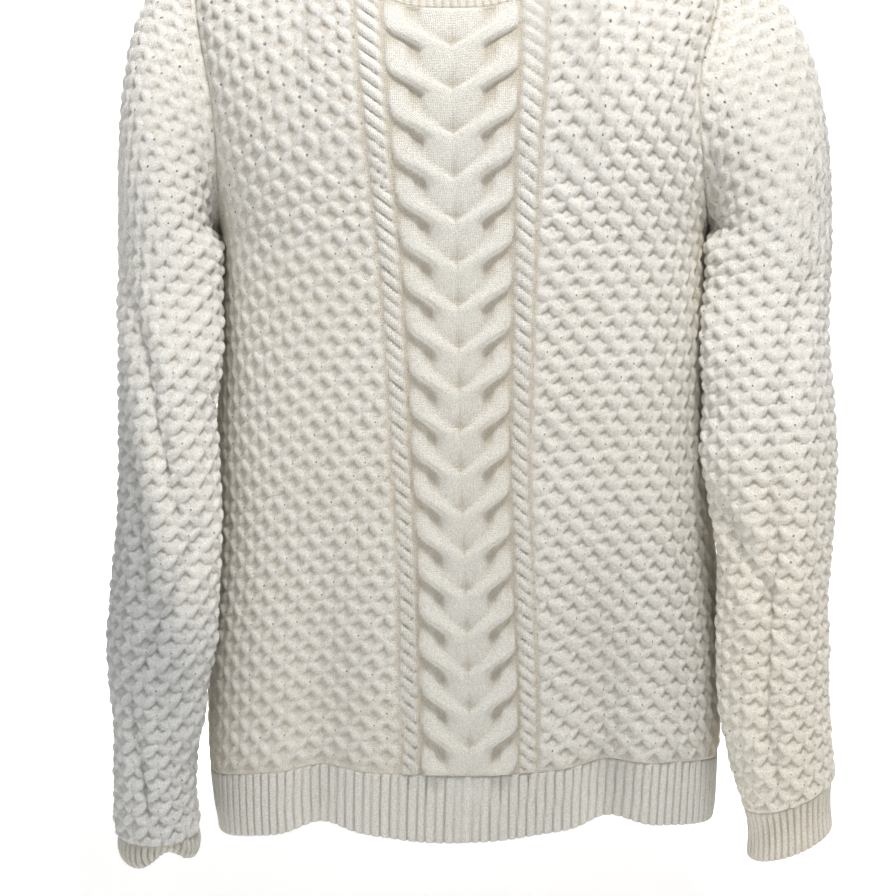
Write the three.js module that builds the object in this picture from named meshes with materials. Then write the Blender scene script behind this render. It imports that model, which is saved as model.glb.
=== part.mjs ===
// Cable knit pullover, filled out and hanging as worn, hollow inside.
// Millimetres, +Z up, the front faces -Y, the origin is at shoulder height on
// the middle plane. Every piece is one knitted wall: rings and columns worked
// out from the tables below give its outer face, and its inner face lies WALL
// further in. Pieces are SEAM apart where they are joined.
import * as THREE from 'three';

// ---------------------------------------------------------------- sizes
const WALL = 3.0;            // thickness of the knitted wall
const RIB_WALL = 3.0;        // thickness of the ribbed bands
const SEAM = 0.3;            // gap between two pieces at a seam

const SHOULDER_SLOPE = 0.36; // fall of the shoulder seam per mm outwards
const NECK_POINT_Z = 27;     // height of the shoulder seam at the neck
const NECK_HALF = 94;        // half-width of the neckline
const NECK_X = -7;           // the neckline sits a little to the left
const TIP_Z = -12;           // height of the shoulder tip
const BEND_Z = -130;         // above this height the panels round over to the seam
const BEND_POWER = 2.1;      // roundness of that bend
const FRONT_NECK_TURN = 33;  // degrees of the bend reached at the front neckline
const BACK_NECK_TURN = 60;   // the same at the back neckline
const NECKLINE_POWER = 2.5;  // flatness of the neckline's bottom

const ARMPIT_LEVEL = 0.847;  // level of the armpit between rib seam (0) and bend (1)
const NECK_COLUMN = 0.335;   // share of the half panel that ends in the neckline
const NECK_SPREAD = 0.47;    // share that the same columns take below the chest
const BAND_HEIGHT = 25;      // neckband, ribbed

// body rings: centre x, half-widths left and right, half-depths front and back
const BODY_RINGS = [
  { z: -662, xc: 2,   left: 194, right: 193, front: 84,  back: 82,  power: 2.6 },
  { z: -640, xc: 2,   left: 197, right: 195, front: 86,  back: 84,  power: 2.6 },
  { z: -600, xc: 3,   left: 201, right: 195, front: 90,  back: 88,  power: 2.55 },
  { z: -560, xc: 4,   left: 202, right: 196, front: 92,  back: 90,  power: 2.5 },
  { z: -520, xc: 3,   left: 200, right: 196, front: 93,  back: 90,  power: 2.5 },
  { z: -430, xc: 0,   left: 192, right: 191, front: 96,  back: 87,  power: 2.45 },
  { z: -360, xc: -3,  left: 185, right: 188, front: 99,  back: 86,  power: 2.45 },
  { z: -290, xc: -4,  left: 179, right: 186, front: 103, back: 90,  power: 2.45 },
  { z: -200, xc: -6,  left: 175, right: 186, front: 106, back: 98,  power: 2.4 },
  { z: -150, xc: -8,  left: 181, right: 194, front: 107, back: 100, power: 2.4 },
  { z: -100, xc: -9,  left: 186, right: 197, front: 107, back: 101, power: 2.4 },
  { z: -60,  xc: -10, left: 190, right: 201, front: 107, back: 101, power: 2.4 },
  { z: -12,  xc: -11, left: 194, right: 206, front: 107, back: 101, power: 2.4 },
];

// armhole seen from the front: x of the seam at each height, front and back
const ARMHOLE = [
  { z: -200, leftFront: -181, rightFront: 180, leftBack: -181, rightBack: 180 },
  { z: -190, leftFront: -180, rightFront: 178, leftBack: -180, rightBack: 178 },
  { z: -170, leftFront: -179, rightFront: 174, leftBack: -178, rightBack: 174 },
  { z: -140, leftFront: -178, rightFront: 169, leftBack: -175, rightBack: 170 },
  { z: -104, leftFront: -181, rightFront: 166, leftBack: -177, rightBack: 171 },
  { z: -80,  leftFront: -186, rightFront: 169, leftBack: -181, rightBack: 174 },
  { z: -60,  leftFront: -190, rightFront: 176, leftBack: -186, rightBack: 179 },
  { z: -34,  leftFront: -194, rightFront: 183, leftBack: -191, rightBack: 184 },
  { z: -12,  leftFront: -195, rightFront: 187, leftBack: -195, rightBack: 187 },
];

// lower edges of the body, by x on the front: the seam of the rib and the hem
const LOWER_EDGE = [
  { x: -200, seam: -613, hem: -662 },
  { x: -170, seam: -606, hem: -656 },
  { x: -145, seam: -601, hem: -651 },
  { x: -112, seam: -596, hem: -643 },
  { x: -79,  seam: -595, hem: -644 },
  { x: -30,  seam: -595, hem: -649 },
  { x: 20,   seam: -595, hem: -648 },
  { x: 76,   seam: -592, hem: -641 },
  { x: 109,  seam: -591, hem: -638 },
  { x: 149,  seam: -593, hem: -643 },
  { x: 180,  seam: -597, hem: -648 },
  { x: 200,  seam: -602, hem: -652 },
];
const BACK_HEM = { seam: -598, hem: -650 };   // the same behind, where it hangs level

// long soft folds of the body: where they meet the hem, how deep there, how wide,
// how high they reach and how far they lean sideways on the way up
const BODY_FOLDS = [
  { side: 'front', x: -108, depth: 21, width: 21, reach: 300, lean: 14 },
  { side: 'front', x: 110,  depth: 23, width: 20, reach: 280, lean: -16 },
  { side: 'back',  x: -84,  depth: 18, width: 24, reach: 330, lean: 10 },
  { side: 'back',  x: 96,   depth: 20, width: 22, reach: 260, lean: -12 },
  { side: 'back',  x: 6,    depth: 8,  width: 20, reach: 170, lean: 4 },
];

// sleeve sections: centre, half-width, half-depth, turn in degrees, slope of the
// section across x
const LEFT_SLEEVE = [
  { z: -227, x: -220,   y: -24, wide: 31.5, deep: 57, turn: 8,  slope: 0 },
  { z: -256, x: -221,   y: -32, wide: 31,   deep: 56, turn: 11, slope: 0 },
  { z: -285, x: -221.5, y: -40, wide: 29,   deep: 55, turn: 13, slope: 0 },
  { z: -321, x: -222,   y: -46, wide: 28.5, deep: 53, turn: 13, slope: 0 },
  { z: -358, x: -221,   y: -50, wide: 30,   deep: 51, turn: 13, slope: 0 },
  { z: -395, x: -221,   y: -53, wide: 31.5, deep: 50, turn: 12, slope: 0 },
  { z: -432, x: -223,   y: -55, wide: 33,   deep: 48, turn: 11, slope: 0 },
  { z: -470, x: -226,   y: -56, wide: 34,   deep: 45, turn: 10, slope: 0 },
  { z: -501, x: -228.5, y: -56, wide: 35,   deep: 43, turn: 8,  slope: 0 },
  { z: -532, x: -231.5, y: -56, wide: 31.5, deep: 41, turn: 5,  slope: 0 },
  { z: -563, x: -231.5, y: -56, wide: 29,   deep: 39, turn: 2,  slope: 0 },
  { z: -595, x: -232.5, y: -56, wide: 28.5, deep: 37, turn: 0,  slope: 0 },
  { z: -626, x: -233.5, y: -56, wide: 28,   deep: 35, turn: 0,  slope: 0 },
  { z: -650, x: -232,   y: -56, wide: 29.5, deep: 34, turn: 0,  slope: 0 },
];
const RIGHT_SLEEVE = [
  { z: -227, x: 228.5, y: -24, wide: 39,   deep: 53, turn: -8,  slope: 0 },
  { z: -256, x: 226.5, y: -32, wide: 39,   deep: 52, turn: -11, slope: 0 },
  { z: -285, x: 226.5, y: -40, wide: 39,   deep: 51, turn: -12, slope: 0 },
  { z: -321, x: 226,   y: -46, wide: 42.5, deep: 50, turn: -12, slope: 0 },
  { z: -358, x: 226,   y: -51, wide: 45,   deep: 49, turn: -12, slope: 0 },
  { z: -395, x: 229.5, y: -54, wide: 41,   deep: 48, turn: -9,  slope: 0 },
  { z: -432, x: 231,   y: -56, wide: 37.5, deep: 46, turn: -5,  slope: 0 },
  { z: -470, x: 229.5, y: -56, wide: 37,   deep: 44, turn: 0,   slope: 0.02 },
  { z: -501, x: 231,   y: -56, wide: 38,   deep: 42, turn: 0,   slope: 0.06 },
  { z: -532, x: 232.5, y: -56, wide: 37.5, deep: 40, turn: 0,   slope: 0.12 },
  { z: -563, x: 235.5, y: -56, wide: 36.5, deep: 38, turn: 0,   slope: 0.2 },
  { z: -593, x: 240,   y: -56, wide: 35,   deep: 36, turn: 0,   slope: 0.3 },
  { z: -619, x: 245.5, y: -56, wide: 32,   deep: 34, turn: 0,   slope: 0.4 },
];

// where the sleeve head leaves the armhole and how full it is, outer and inner side
const SLEEVE_HEAD = {
  left:  { out: 43, outFall: 12, rise: 163, under: 9, underFall: 1, underRise: 14 },
  right: { out: 50, outFall: 12, rise: 160, under: 9, underFall: 1, underRise: 14 },
};

// left cuff: how far down, how far in, for each row; it is turned under
const LEFT_CUFF = [
  { down: 0,  inward: 0 },
  { down: 9,  inward: -1.2 },
  { down: 17, inward: 0.5 },
  { down: 22, inward: 5 },
  { down: 22.5, inward: 11 },
];
const LEFT_CUFF_NOTCH = { x: -223, up: 11, back: 9, width: 13 };
// right cuff: rows below its seam
const RIGHT_CUFF = [
  { down: 0,  x: 245.5, wide: 32,   deep: 34, slope: 0.4 },
  { down: 10, x: 246.5, wide: 30.5, deep: 32, slope: 0.42 },
  { down: 24, x: 247.5, wide: 30,   deep: 31, slope: 0.42 },
  { down: 38, x: 248,   wide: 31,   deep: 32, slope: 0.42 },
];

// ---------------------------------------------------------------- helpers
const RAD = Math.PI / 180;
const pow = (v, p) => Math.sign(v) * Math.abs(v) ** p;
const bell = (v) => Math.exp(-v * v);
const ease = (v) => { const t = Math.min(1, Math.max(0, v)); return t * t * (3 - 2 * t); };

// smooth value of a table column at a key, the rows in rising order of the key
function read(table, key, column, at) {
  const rows = table[0][key] < table[table.length - 1][key] ? table : [...table].reverse();
  const n = rows.length;
  if (at <= rows[0][key]) return rows[0][column];
  if (at >= rows[n - 1][key]) return rows[n - 1][column];
  let k = 0;
  while (rows[k + 1][key] < at) k++;
  const slope = (m) => {
    if (m <= 0 || m >= n - 1) return 0;
    return (rows[m + 1][column] - rows[m - 1][column]) / (rows[m + 1][key] - rows[m - 1][key]);
  };
  const h = rows[k + 1][key] - rows[k][key];
  const t = (at - rows[k][key]) / h;
  return (2 * t ** 3 - 3 * t ** 2 + 1) * rows[k][column] + (t ** 3 - 2 * t ** 2 + t) * h * slope(k)
    + (3 * t ** 2 - 2 * t ** 3) * rows[k + 1][column] + (t ** 3 - t ** 2) * h * slope(k + 1);
}

// ---------------------------------------------------------------- body surface
// shoulder seam height at a place across the body
function shoulderZ(x) {
  const out = Math.abs(x - NECK_X) - NECK_HALF;
  return NECK_POINT_Z - SHOULDER_SLOPE * (out + Math.hypot(out, 24)) / 2;
}

function foldAt(side, x, z) {
  let d = 0;
  for (const f of BODY_FOLDS) {
    if (f.side !== side) continue;
    const up = (z + 650) / f.reach;
    const fade = 1 - ease(up);
    d += f.depth * fade * bell((x - f.x - f.lean * up) / (f.width * (1 + 0.5 * up)));
  }
  return d;
}

// point of the body at column c (-1 left seam, 1 right seam) and a level:
// 0 rib seam, 1 start of the bend, 2 shoulder seam, below 0 the rib (-1 hem)
function bodyPoint(side, c, level) {
  const front = side === 'front';
  const turn = Math.max(0, level - 1) * 90 * RAD;
  const rise = Math.sin(turn) ** (2 / BEND_POWER);
  const pull = Math.max(0, Math.cos(turn)) ** (2 / BEND_POWER);
  // nominal height, along the outer columns
  const seamMid = -598;
  let zt = level <= 1 ? seamMid + (BEND_Z - seamMid) * Math.max(0, level)
    : BEND_Z + (TIP_Z - BEND_Z) * rise;
  // widest angle of this level: the side seam, or the armhole above the armpit
  const ring = (column, z) => read(BODY_RINGS, 'z', column, z);
  const edge = (sign, z) => {
    if (level <= ARMPIT_LEVEL + 1e-9) return 90 * RAD;
    const x = read(ARMHOLE, 'z', (sign < 0 ? 'left' : 'right') + (front ? 'Front' : 'Back'), z);
    const half = ring(sign < 0 ? 'left' : 'right', z);
    return Math.asin(Math.min(1, (Math.abs(x - ring('xc', z)) / half) ** (ring('power', z) / 2)));
  };
  const place = (z, zr) => {
    const power = ring('power', zr);
    const angle = c * edge(c < 0 ? -1 : 1, zt);
    const half = ring(c < 0 ? 'left' : 'right', zr);
    const x = ring('xc', zr) + half * pow(Math.sin(angle), 2 / power);
    const deep = ring(front ? 'front' : 'back', zr) * Math.max(0, Math.cos(angle)) ** (2 / power);
    return [x, (front ? -1 : 1) * deep * pull];
  };
  let [x, y] = place(zt, zt);
  let z = zt;
  const level0 = lowerEdge(side, 'seam', x, c);
  if (level <= 0) {
    const hem = lowerEdge(side, 'hem', x, c);
    z = level0 + (hem - level0) * -level;
    [x, y] = place(z, z);
  } else if (level <= 1) {
    z = level0 + (BEND_Z - level0) * level;
    [x, y] = place(z, z);
  } else {
    z = BEND_Z + (shoulderZ(x) - BEND_Z) * rise;
  }
  const fold = foldAt(side, x, z);
  y += (front ? 1 : -1) * fold * Math.min(1, Math.abs(y) / 60);
  return new THREE.Vector3(x, y, z);
}

// height of the rib seam or the hem; behind, they run level between the side seams
function lowerEdge(side, column, x, c) {
  const ahead = read(LOWER_EDGE, 'x', column, x);
  if (side === 'front') return ahead;
  return BACK_HEM[column] + (ahead - BACK_HEM[column]) * ease((Math.abs(c) - 0.5) / 0.5);
}

// the level at which a column ends: the neckline in the middle, else the shoulder
function topLevel(side, c) {
  const low = 1 + (side === 'front' ? FRONT_NECK_TURN : BACK_NECK_TURN) / 90;
  const out = Math.abs(c) / NECK_COLUMN;
  if (out >= 1) return 2;
  return low + (2 - low) * (1 - (1 - out ** NECKLINE_POWER) ** (1 / NECKLINE_POWER));
}

const LEVELS = [0, 0.12, 0.24, 0.36, 0.48, 0.6, 0.72, ARMPIT_LEVEL,
  0.87, 0.92, 0.985, 1.13, 1.29, 1.46, 1.64, 1.82, 2];
const ARMPIT_ROW = LEVELS.indexOf(ARMPIT_LEVEL);
const NECK_STEPS = 12, SIDE_STEPS = 10;
// columns from seam to seam: where each ends at the top and where it runs below
const COLUMNS = [];
for (let k = 0; k <= 2 * SIDE_STEPS + NECK_STEPS; k++) {
  const fromSeam = Math.min(k, 2 * SIDE_STEPS + NECK_STEPS - k);
  const sign = k < SIDE_STEPS + NECK_STEPS / 2 ? -1 : 1;
  if (fromSeam < SIDE_STEPS) {
    const t = fromSeam / SIDE_STEPS;
    COLUMNS.push({ top: sign * (1 - (1 - NECK_COLUMN) * t), low: sign * (1 - (1 - NECK_SPREAD) * t) });
  } else {
    const t = (fromSeam - SIDE_STEPS) / (NECK_STEPS / 2);
    COLUMNS.push({ top: sign * NECK_COLUMN * Math.cos(90 * RAD * t ** 0.9), low: sign * NECK_SPREAD * (1 - t) });
  }
}

function panelGrid(side) {
  return LEVELS.map((level) => COLUMNS.map(({ top, low }) => {
    const t = Math.max(0, (level - ARMPIT_LEVEL) / (2 - ARMPIT_LEVEL));
    const l = level > ARMPIT_LEVEL ? ARMPIT_LEVEL + t * (topLevel(side, top) - ARMPIT_LEVEL) : level;
    return bodyPoint(side, low + (top - low) * ease(t), l);
  }));
}
function ribGrid(side) {
  return [-1, -0.66, -0.33, 0].map((level) => COLUMNS.map(({ low }) => bodyPoint(side, low, level)));
}

// ---------------------------------------------------------------- sleeves
// one section, its points from the outermost round by the front
function sectionPoint(s, angle, sign) {
  const u = s.wide * Math.cos(angle) * sign;
  const v = -s.deep * Math.sin(angle);
  const t = s.turn * RAD;
  const x = u * Math.cos(t) - v * Math.sin(t);
  const y = u * Math.sin(t) + v * Math.cos(t);
  return new THREE.Vector3(s.x + x, s.y + y, s.z + s.slope * x);
}

function sleeveGrid(sign, frontPanel, backPanel, table, head) {
  const edge = sign < 0 ? 0 : COLUMNS.length - 1;
  const top = LEVELS.length - 1;
  const loop = [];
  for (let j = top; j >= ARMPIT_ROW; j--) loop.push(frontPanel[j][edge]);
  for (let j = ARMPIT_ROW + 1; j < top; j++) loop.push(backPanel[j][edge]);
  const n = loop.length;
  const grid = [loop.map((p) => p.clone())];
  const HEAD_ROWS = [0.07, 0.18, 0.32, 0.48, 0.66, 0.84];
  const angles = loop.map((p, m) => 2 * Math.PI * m / n);
  for (const t of HEAD_ROWS) {
    grid.push(loop.map((p0, m) => {
      const a = angles[m];
      const outer = (1 + Math.cos(a)) / 2;
      const p3 = sectionPoint(table[0], a, sign);
      const p1 = p0.clone().add(new THREE.Vector3(
        sign * (head.under + (head.out - head.under) * outer), 0,
        -(head.underFall + (head.outFall - head.underFall) * outer)));
      const p2 = p3.clone().add(new THREE.Vector3(0, 0,
        head.underRise + (head.rise - head.underRise) * outer ** 1.2));
      const s = 1 - t;
      return new THREE.Vector3()
        .addScaledVector(p0, s ** 3).addScaledVector(p1, 3 * s * s * t)
        .addScaledVector(p2, 3 * s * t * t).addScaledVector(p3, t ** 3);
    }));
  }
  for (const row of table) grid.push(angles.map((a) => sectionPoint(row, a, sign)));
  return grid.reverse();       // row 0 at the cuff
}

function leftCuffGrid(seamRow) {
  const last = LEFT_SLEEVE[LEFT_SLEEVE.length - 1];
  const notch = LEFT_CUFF_NOTCH;
  return LEFT_CUFF.map((row) => seamRow.map((p) => {
    const dx = p.x - last.x, dy = p.y - last.y;
    const r = Math.hypot(dx, dy);
    const q = new THREE.Vector3(
      last.x + dx * (1 - row.inward / r), last.y + dy * (1 - row.inward / r), p.z - row.down);
    const near = bell((q.x - notch.x) / notch.width) * (dy < 0 ? 1 : 0) * Math.min(1, row.down / 20);
    q.z += notch.up * near;
    q.y += notch.back * near;
    return q;
  })).reverse();
}

function rightCuffGrid(n) {
  const seam = RIGHT_SLEEVE[RIGHT_SLEEVE.length - 1];
  return RIGHT_CUFF.map((row) => Array.from({ length: n }, (_, m) =>
    sectionPoint({ ...seam, ...row, z: seam.z - row.down }, 2 * Math.PI * m / n, 1))).reverse();
}

// ---------------------------------------------------------------- neckband
function neckGrid(frontPanel, backPanel) {
  const top = LEVELS.length - 1;
  const loop = [];
  for (let i = SIDE_STEPS; i <= SIDE_STEPS + NECK_STEPS; i++) loop.push(frontPanel[top][i]);
  for (let i = SIDE_STEPS + NECK_STEPS - 1; i > SIDE_STEPS; i--) loop.push(backPanel[top][i]);
  const centre = new THREE.Vector3(NECK_X, -16, 0);
  return [0, 0.34, 0.68, 1].map((t) => loop.map((p) => {
    const inward = new THREE.Vector3(centre.x - p.x, centre.y - p.y, 0).normalize();
    const lean = 0.48 + 0.24 * Math.abs(inward.x) ** 1.5;
    const up = Math.sqrt(1 - lean * lean);
    const d = BAND_HEIGHT * t;
    // the band stands up more steeply towards its edge
    return p.clone().addScaledVector(inward, d * lean * (1 - 0.25 * t))
      .add(new THREE.Vector3(0, 0, d * up * (1 + 0.08 * t)));
  }));
}

// ---------------------------------------------------------------- walls
const key = (p) => `${Math.round(p.x * 50)},${Math.round(p.y * 50)},${Math.round(p.z * 50)}`;

// outward normal at every point, shared by the pieces that meet there
function shareNormals(pieces) {
  const sum = new Map();
  const ab = new THREE.Vector3(), ac = new THREE.Vector3();
  for (const { grid, wrap } of pieces) {
    const cols = grid[0].length;
    for (let j = 0; j < grid.length - 1; j++) {
      for (let i = 0; i < (wrap ? cols : cols - 1); i++) {
        const i2 = (i + 1) % cols;
        const a = grid[j][i], b = grid[j][i2], c = grid[j + 1][i2], d = grid[j + 1][i];
        const normal = ab.subVectors(c, a).clone().cross(ac.subVectors(d, b));
        normal.normalize();
        for (const p of [a, b, c, d]) {
          const k = key(p);
          if (!sum.has(k)) sum.set(k, new THREE.Vector3());
          sum.get(k).add(normal);
        }
      }
    }
  }
  for (const v of sum.values()) v.normalize();
  return (p) => sum.get(key(p));
}

// grid rows rise from the lower edge; columns run so that the normals face out
function wallGeometry(grid, wrap, thick, normalAt) {
  const rows = grid.length, cols = grid[0].length;
  const out = grid.map((row) => row.map((p) => p.clone()));
  const across = (j, i, dj, di, inner) => {
    // move an edge point into its own piece, square to the seam and in the cloth
    const p = grid[j][i];
    const wrapI = (v) => (wrap ? (v + cols) % cols : Math.min(cols - 1, Math.max(0, v)));
    const a = grid[Math.max(0, j - dj)][wrapI(i - di)];
    const b = grid[Math.min(rows - 1, j + dj)][wrapI(i + di)];
    const along = new THREE.Vector3().subVectors(b, a).normalize();
    const d = new THREE.Vector3().crossVectors(normalAt(p), along).normalize();
    if (d.dot(new THREE.Vector3().subVectors(inner, p)) < 0) d.negate();
    out[j][i].addScaledVector(d, SEAM / 2);
  };
  for (let i = 0; i < cols; i++) {
    across(0, i, 0, 1, grid[1][i]);
    across(rows - 1, i, 0, 1, grid[rows - 2][i]);
  }
  if (!wrap) {
    for (let j = 0; j < rows; j++) {
      across(j, 0, 1, 0, grid[j][1]);
      across(j, cols - 1, 1, 0, grid[j][cols - 2]);
    }
  }
  const pos = [];
  const put = (p) => { pos.push(p.x, p.y, p.z); };
  for (let j = 0; j < rows; j++) for (let i = 0; i < cols; i++) put(out[j][i]);
  for (let j = 0; j < rows; j++) {
    for (let i = 0; i < cols; i++) put(out[j][i].clone().addScaledVector(normalAt(grid[j][i]), -thick));
  }
  const o = (j, i) => j * cols + (i % cols);
  const n = (j, i) => rows * cols + j * cols + (i % cols);
  const index = [];
  const quad = (a, b, c, d) => { index.push(a, b, c, a, c, d); };
  const lastI = wrap ? cols : cols - 1;
  for (let j = 0; j < rows - 1; j++) {
    for (let i = 0; i < lastI; i++) {
      quad(o(j, i), o(j, i + 1), o(j + 1, i + 1), o(j + 1, i));
      quad(n(j, i), n(j + 1, i), n(j + 1, i + 1), n(j, i + 1));
    }
  }
  for (let i = 0; i < lastI; i++) {
    quad(n(0, i), n(0, i + 1), o(0, i + 1), o(0, i));
    quad(o(rows - 1, i), o(rows - 1, i + 1), n(rows - 1, i + 1), n(rows - 1, i));
  }
  if (!wrap) {
    for (let j = 0; j < rows - 1; j++) {
      quad(n(j, 0), o(j, 0), o(j + 1, 0), n(j + 1, 0));
      quad(o(j, cols - 1), n(j, cols - 1), n(j + 1, cols - 1), o(j + 1, cols - 1));
    }
  }
  const g = new THREE.BufferGeometry();
  g.setAttribute('position', new THREE.Float32BufferAttribute(pos, 3));
  g.setIndex(index);
  g.computeVertexNormals();
  return g;
}

// ---------------------------------------------------------------- pieces
const front = panelGrid('front');
const back = panelGrid('back');
const sleeveLeft = sleeveGrid(-1, front, back, LEFT_SLEEVE, SLEEVE_HEAD.left);
const sleeveRight = sleeveGrid(1, front, back, RIGHT_SLEEVE, SLEEVE_HEAD.right);

// each grid is turned so that its columns run anticlockwise seen from above
const flip = (grid) => grid.map((row) => [...row].reverse());
const PIECES = [
  { name: 'front',          grid: front,                            wrap: false, thick: WALL },
  { name: 'back',           grid: flip(back),                       wrap: false, thick: WALL },
  { name: 'sleeve_left',    grid: sleeveLeft,                       wrap: true,  thick: WALL },
  { name: 'sleeve_right',   grid: flip(sleeveRight),                wrap: true,  thick: WALL },
  { name: 'hem_rib_front',  grid: ribGrid('front'),                 wrap: false, thick: RIB_WALL },
  { name: 'hem_rib_back',   grid: flip(ribGrid('back')),            wrap: false, thick: RIB_WALL },
  { name: 'cuff_left',      grid: leftCuffGrid(sleeveLeft[0]),      wrap: true,  thick: RIB_WALL },
  { name: 'cuff_right',     grid: flip(rightCuffGrid(sleeveRight[0].length)), wrap: true, thick: RIB_WALL },
  { name: 'neckband',       grid: neckGrid(front, back),            wrap: true,  thick: RIB_WALL },
];

const normalAt = shareNormals(PIECES);
const yarn = (name) => new THREE.MeshStandardMaterial({
  name, color: name.includes('rib') || name.includes('cuff') || name.includes('neck') ? 0xe9e4da : 0xf0ece3,
  roughness: 0.92, metalness: 0,
});

const sweater = new THREE.Group();
sweater.name = 'cable_knit_sweater';
for (const piece of PIECES) {
  const mesh = new THREE.Mesh(wallGeometry(piece.grid, piece.wrap, piece.thick, normalAt), yarn(piece.name));
  mesh.name = piece.name;
  sweater.add(mesh);
}

export default sweater;
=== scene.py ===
import math
import bpy
import numpy as np
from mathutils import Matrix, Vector


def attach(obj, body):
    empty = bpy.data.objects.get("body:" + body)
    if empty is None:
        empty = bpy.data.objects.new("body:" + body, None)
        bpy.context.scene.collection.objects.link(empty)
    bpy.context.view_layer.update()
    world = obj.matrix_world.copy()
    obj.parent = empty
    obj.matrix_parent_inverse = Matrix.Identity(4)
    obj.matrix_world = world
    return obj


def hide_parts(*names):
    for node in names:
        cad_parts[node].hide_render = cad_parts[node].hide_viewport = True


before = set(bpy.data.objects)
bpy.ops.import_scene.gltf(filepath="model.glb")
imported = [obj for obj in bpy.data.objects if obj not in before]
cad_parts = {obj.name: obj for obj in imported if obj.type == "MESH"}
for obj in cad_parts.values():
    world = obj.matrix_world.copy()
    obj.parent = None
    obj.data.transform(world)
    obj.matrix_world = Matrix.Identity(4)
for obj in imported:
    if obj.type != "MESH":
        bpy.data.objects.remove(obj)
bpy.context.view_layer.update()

# Cable knit pullover: every knitted piece is a fine closed shell on the form of
# its solid. The outer face carries the knit's relief, worked out in flat
# coordinates of the cloth: s across and t upwards, in millimetres.

# ------------------------------------------------------------------ sizes (mm)
SHOULDER_SLOPE = 0.36
NECK_POINT_Z = 27.0
NECK_HALF = 94.0
NECK_X = -7.0
TIP_Z = -12.0
BEND_Z = -130.0
BEND_POWER = 2.1
FRONT_NECK_TURN = 33.0
BACK_NECK_TURN = 60.0
NECKLINE_POWER = 2.5
ARMPIT_LEVEL = 0.847
NECK_COLUMN = 0.335
NECK_SPREAD = 0.47
BAND_HEIGHT = 25.0
SEAM_MID = -598.0
WALL = 2.7                    # from the base face to the inner face

BODY_RINGS = dict(
    z=[-662, -640, -600, -560, -520, -430, -360, -290, -200, -150, -100, -60, -12],
    xc=[2, 2, 3, 4, 3, 0, -3, -4, -6, -8, -9, -10, -11],
    left=[194, 197, 201, 202, 200, 192, 185, 179, 175, 181, 186, 190, 194],
    right=[193, 195, 195, 196, 196, 191, 188, 186, 186, 194, 197, 201, 206],
    front=[84, 86, 90, 92, 93, 96, 99, 103, 106, 107, 107, 107, 107],
    back=[82, 84, 88, 90, 90, 87, 86, 90, 98, 100, 101, 101, 101],
    power=[2.6, 2.6, 2.55, 2.5, 2.5, 2.45, 2.45, 2.45, 2.4, 2.4, 2.4, 2.4, 2.4])
ARMHOLE = dict(
    z=[-200, -190, -170, -140, -104, -80, -60, -34, -12],
    leftFront=[-181, -180, -179, -178, -181, -186, -190, -194, -195],
    rightFront=[180, 178, 174, 169, 166, 169, 176, 183, 187],
    leftBack=[-181, -180, -178, -175, -177, -181, -186, -191, -195],
    rightBack=[180, 178, 174, 170, 171, 174, 179, 184, 187])
LOWER_EDGE = dict(
    x=[-200, -170, -145, -112, -79, -30, 20, 76, 109, 149, 180, 200],
    seam=[-613, -606, -601, -596, -595, -595, -595, -592, -591, -593, -597, -602],
    hem=[-662, -656, -651, -643, -644, -649, -648, -641, -638, -643, -648, -652])
BACK_SEAM, BACK_HEM = -598.0, -650.0
BODY_FOLDS = [
    ("front", -108, 21, 21, 300, 14), ("front", 110, 23, 20, 280, -16),
    ("back", -84, 18, 24, 330, 10), ("back", 96, 20, 22, 260, -12),
    ("back", 6, 8, 20, 170, 4)]
# softer undulations that the solids leave out: side, x, depth, width, low z, high z, lean
SOFT_FOLDS = [
    ("front", -56, 2.2, 26, -640, -430, 8), ("front", 60, 2.4, 24, -640, -450, -6),
    ("front", -150, 2.5, 16, -640, -470, 6), ("front", 158, 2.0, 14, -630, -380, -8),
    ("back", -40, 2.6, 22, -640, -360, 6), ("back", 48, 2.4, 26, -640, -300, -8),
    ("back", -140, 3.0, 20, -640, -420, 6), ("back", 150, 2.6, 18, -640, -400, -4)]

LEFT_SLEEVE = dict(
    z=[-227, -256, -285, -321, -358, -395, -432, -470, -501, -532, -563, -595, -626, -650],
    x=[-220, -221, -221.5, -222, -221, -221, -223, -226, -228.5, -231.5, -231.5, -232.5, -233.5, -232],
    y=[-24, -32, -40, -46, -50, -53, -55, -56, -56, -56, -56, -56, -56, -56],
    wide=[31.5, 31, 29, 28.5, 30, 31.5, 33, 34, 35, 31.5, 29, 28.5, 28, 29.5],
    deep=[57, 56, 55, 53, 51, 50, 48, 45, 43, 41, 39, 37, 35, 34],
    turn=[8, 11, 13, 13, 13, 12, 11, 10, 8, 5, 2, 0, 0, 0],
    slope=[0] * 14)
RIGHT_SLEEVE = dict(
    z=[-227, -256, -285, -321, -358, -395, -432, -470, -501, -532, -563, -593, -619],
    x=[228.5, 226.5, 226.5, 226, 226, 229.5, 231, 229.5, 231, 232.5, 235.5, 240, 245.5],
    y=[-24, -32, -40, -46, -51, -54, -56, -56, -56, -56, -56, -56, -56],
    wide=[39, 39, 39, 42.5, 45, 41, 37.5, 37, 38, 37.5, 36.5, 35, 32],
    deep=[53, 52, 51, 50, 49, 48, 46, 44, 42, 40, 38, 36, 34],
    turn=[-8, -11, -12, -12, -12, -9, -5, 0, 0, 0, 0, 0, 0],
    slope=[0, 0, 0, 0, 0, 0, 0, 0.02, 0.06, 0.12, 0.2, 0.3, 0.4])
HEAD = {-1: dict(out=43, outFall=12, rise=163, under=9, underFall=1, underRise=14),
        1: dict(out=50, outFall=12, rise=160, under=9, underFall=1, underRise=14)}
LEFT_CUFF = dict(down=[0, 9, 17, 22, 22.5], inward=[0, -1.2, 0.5, 5, 11])
NOTCH = dict(x=-223.0, up=11.0, back=9.0, width=13.0)
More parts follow.
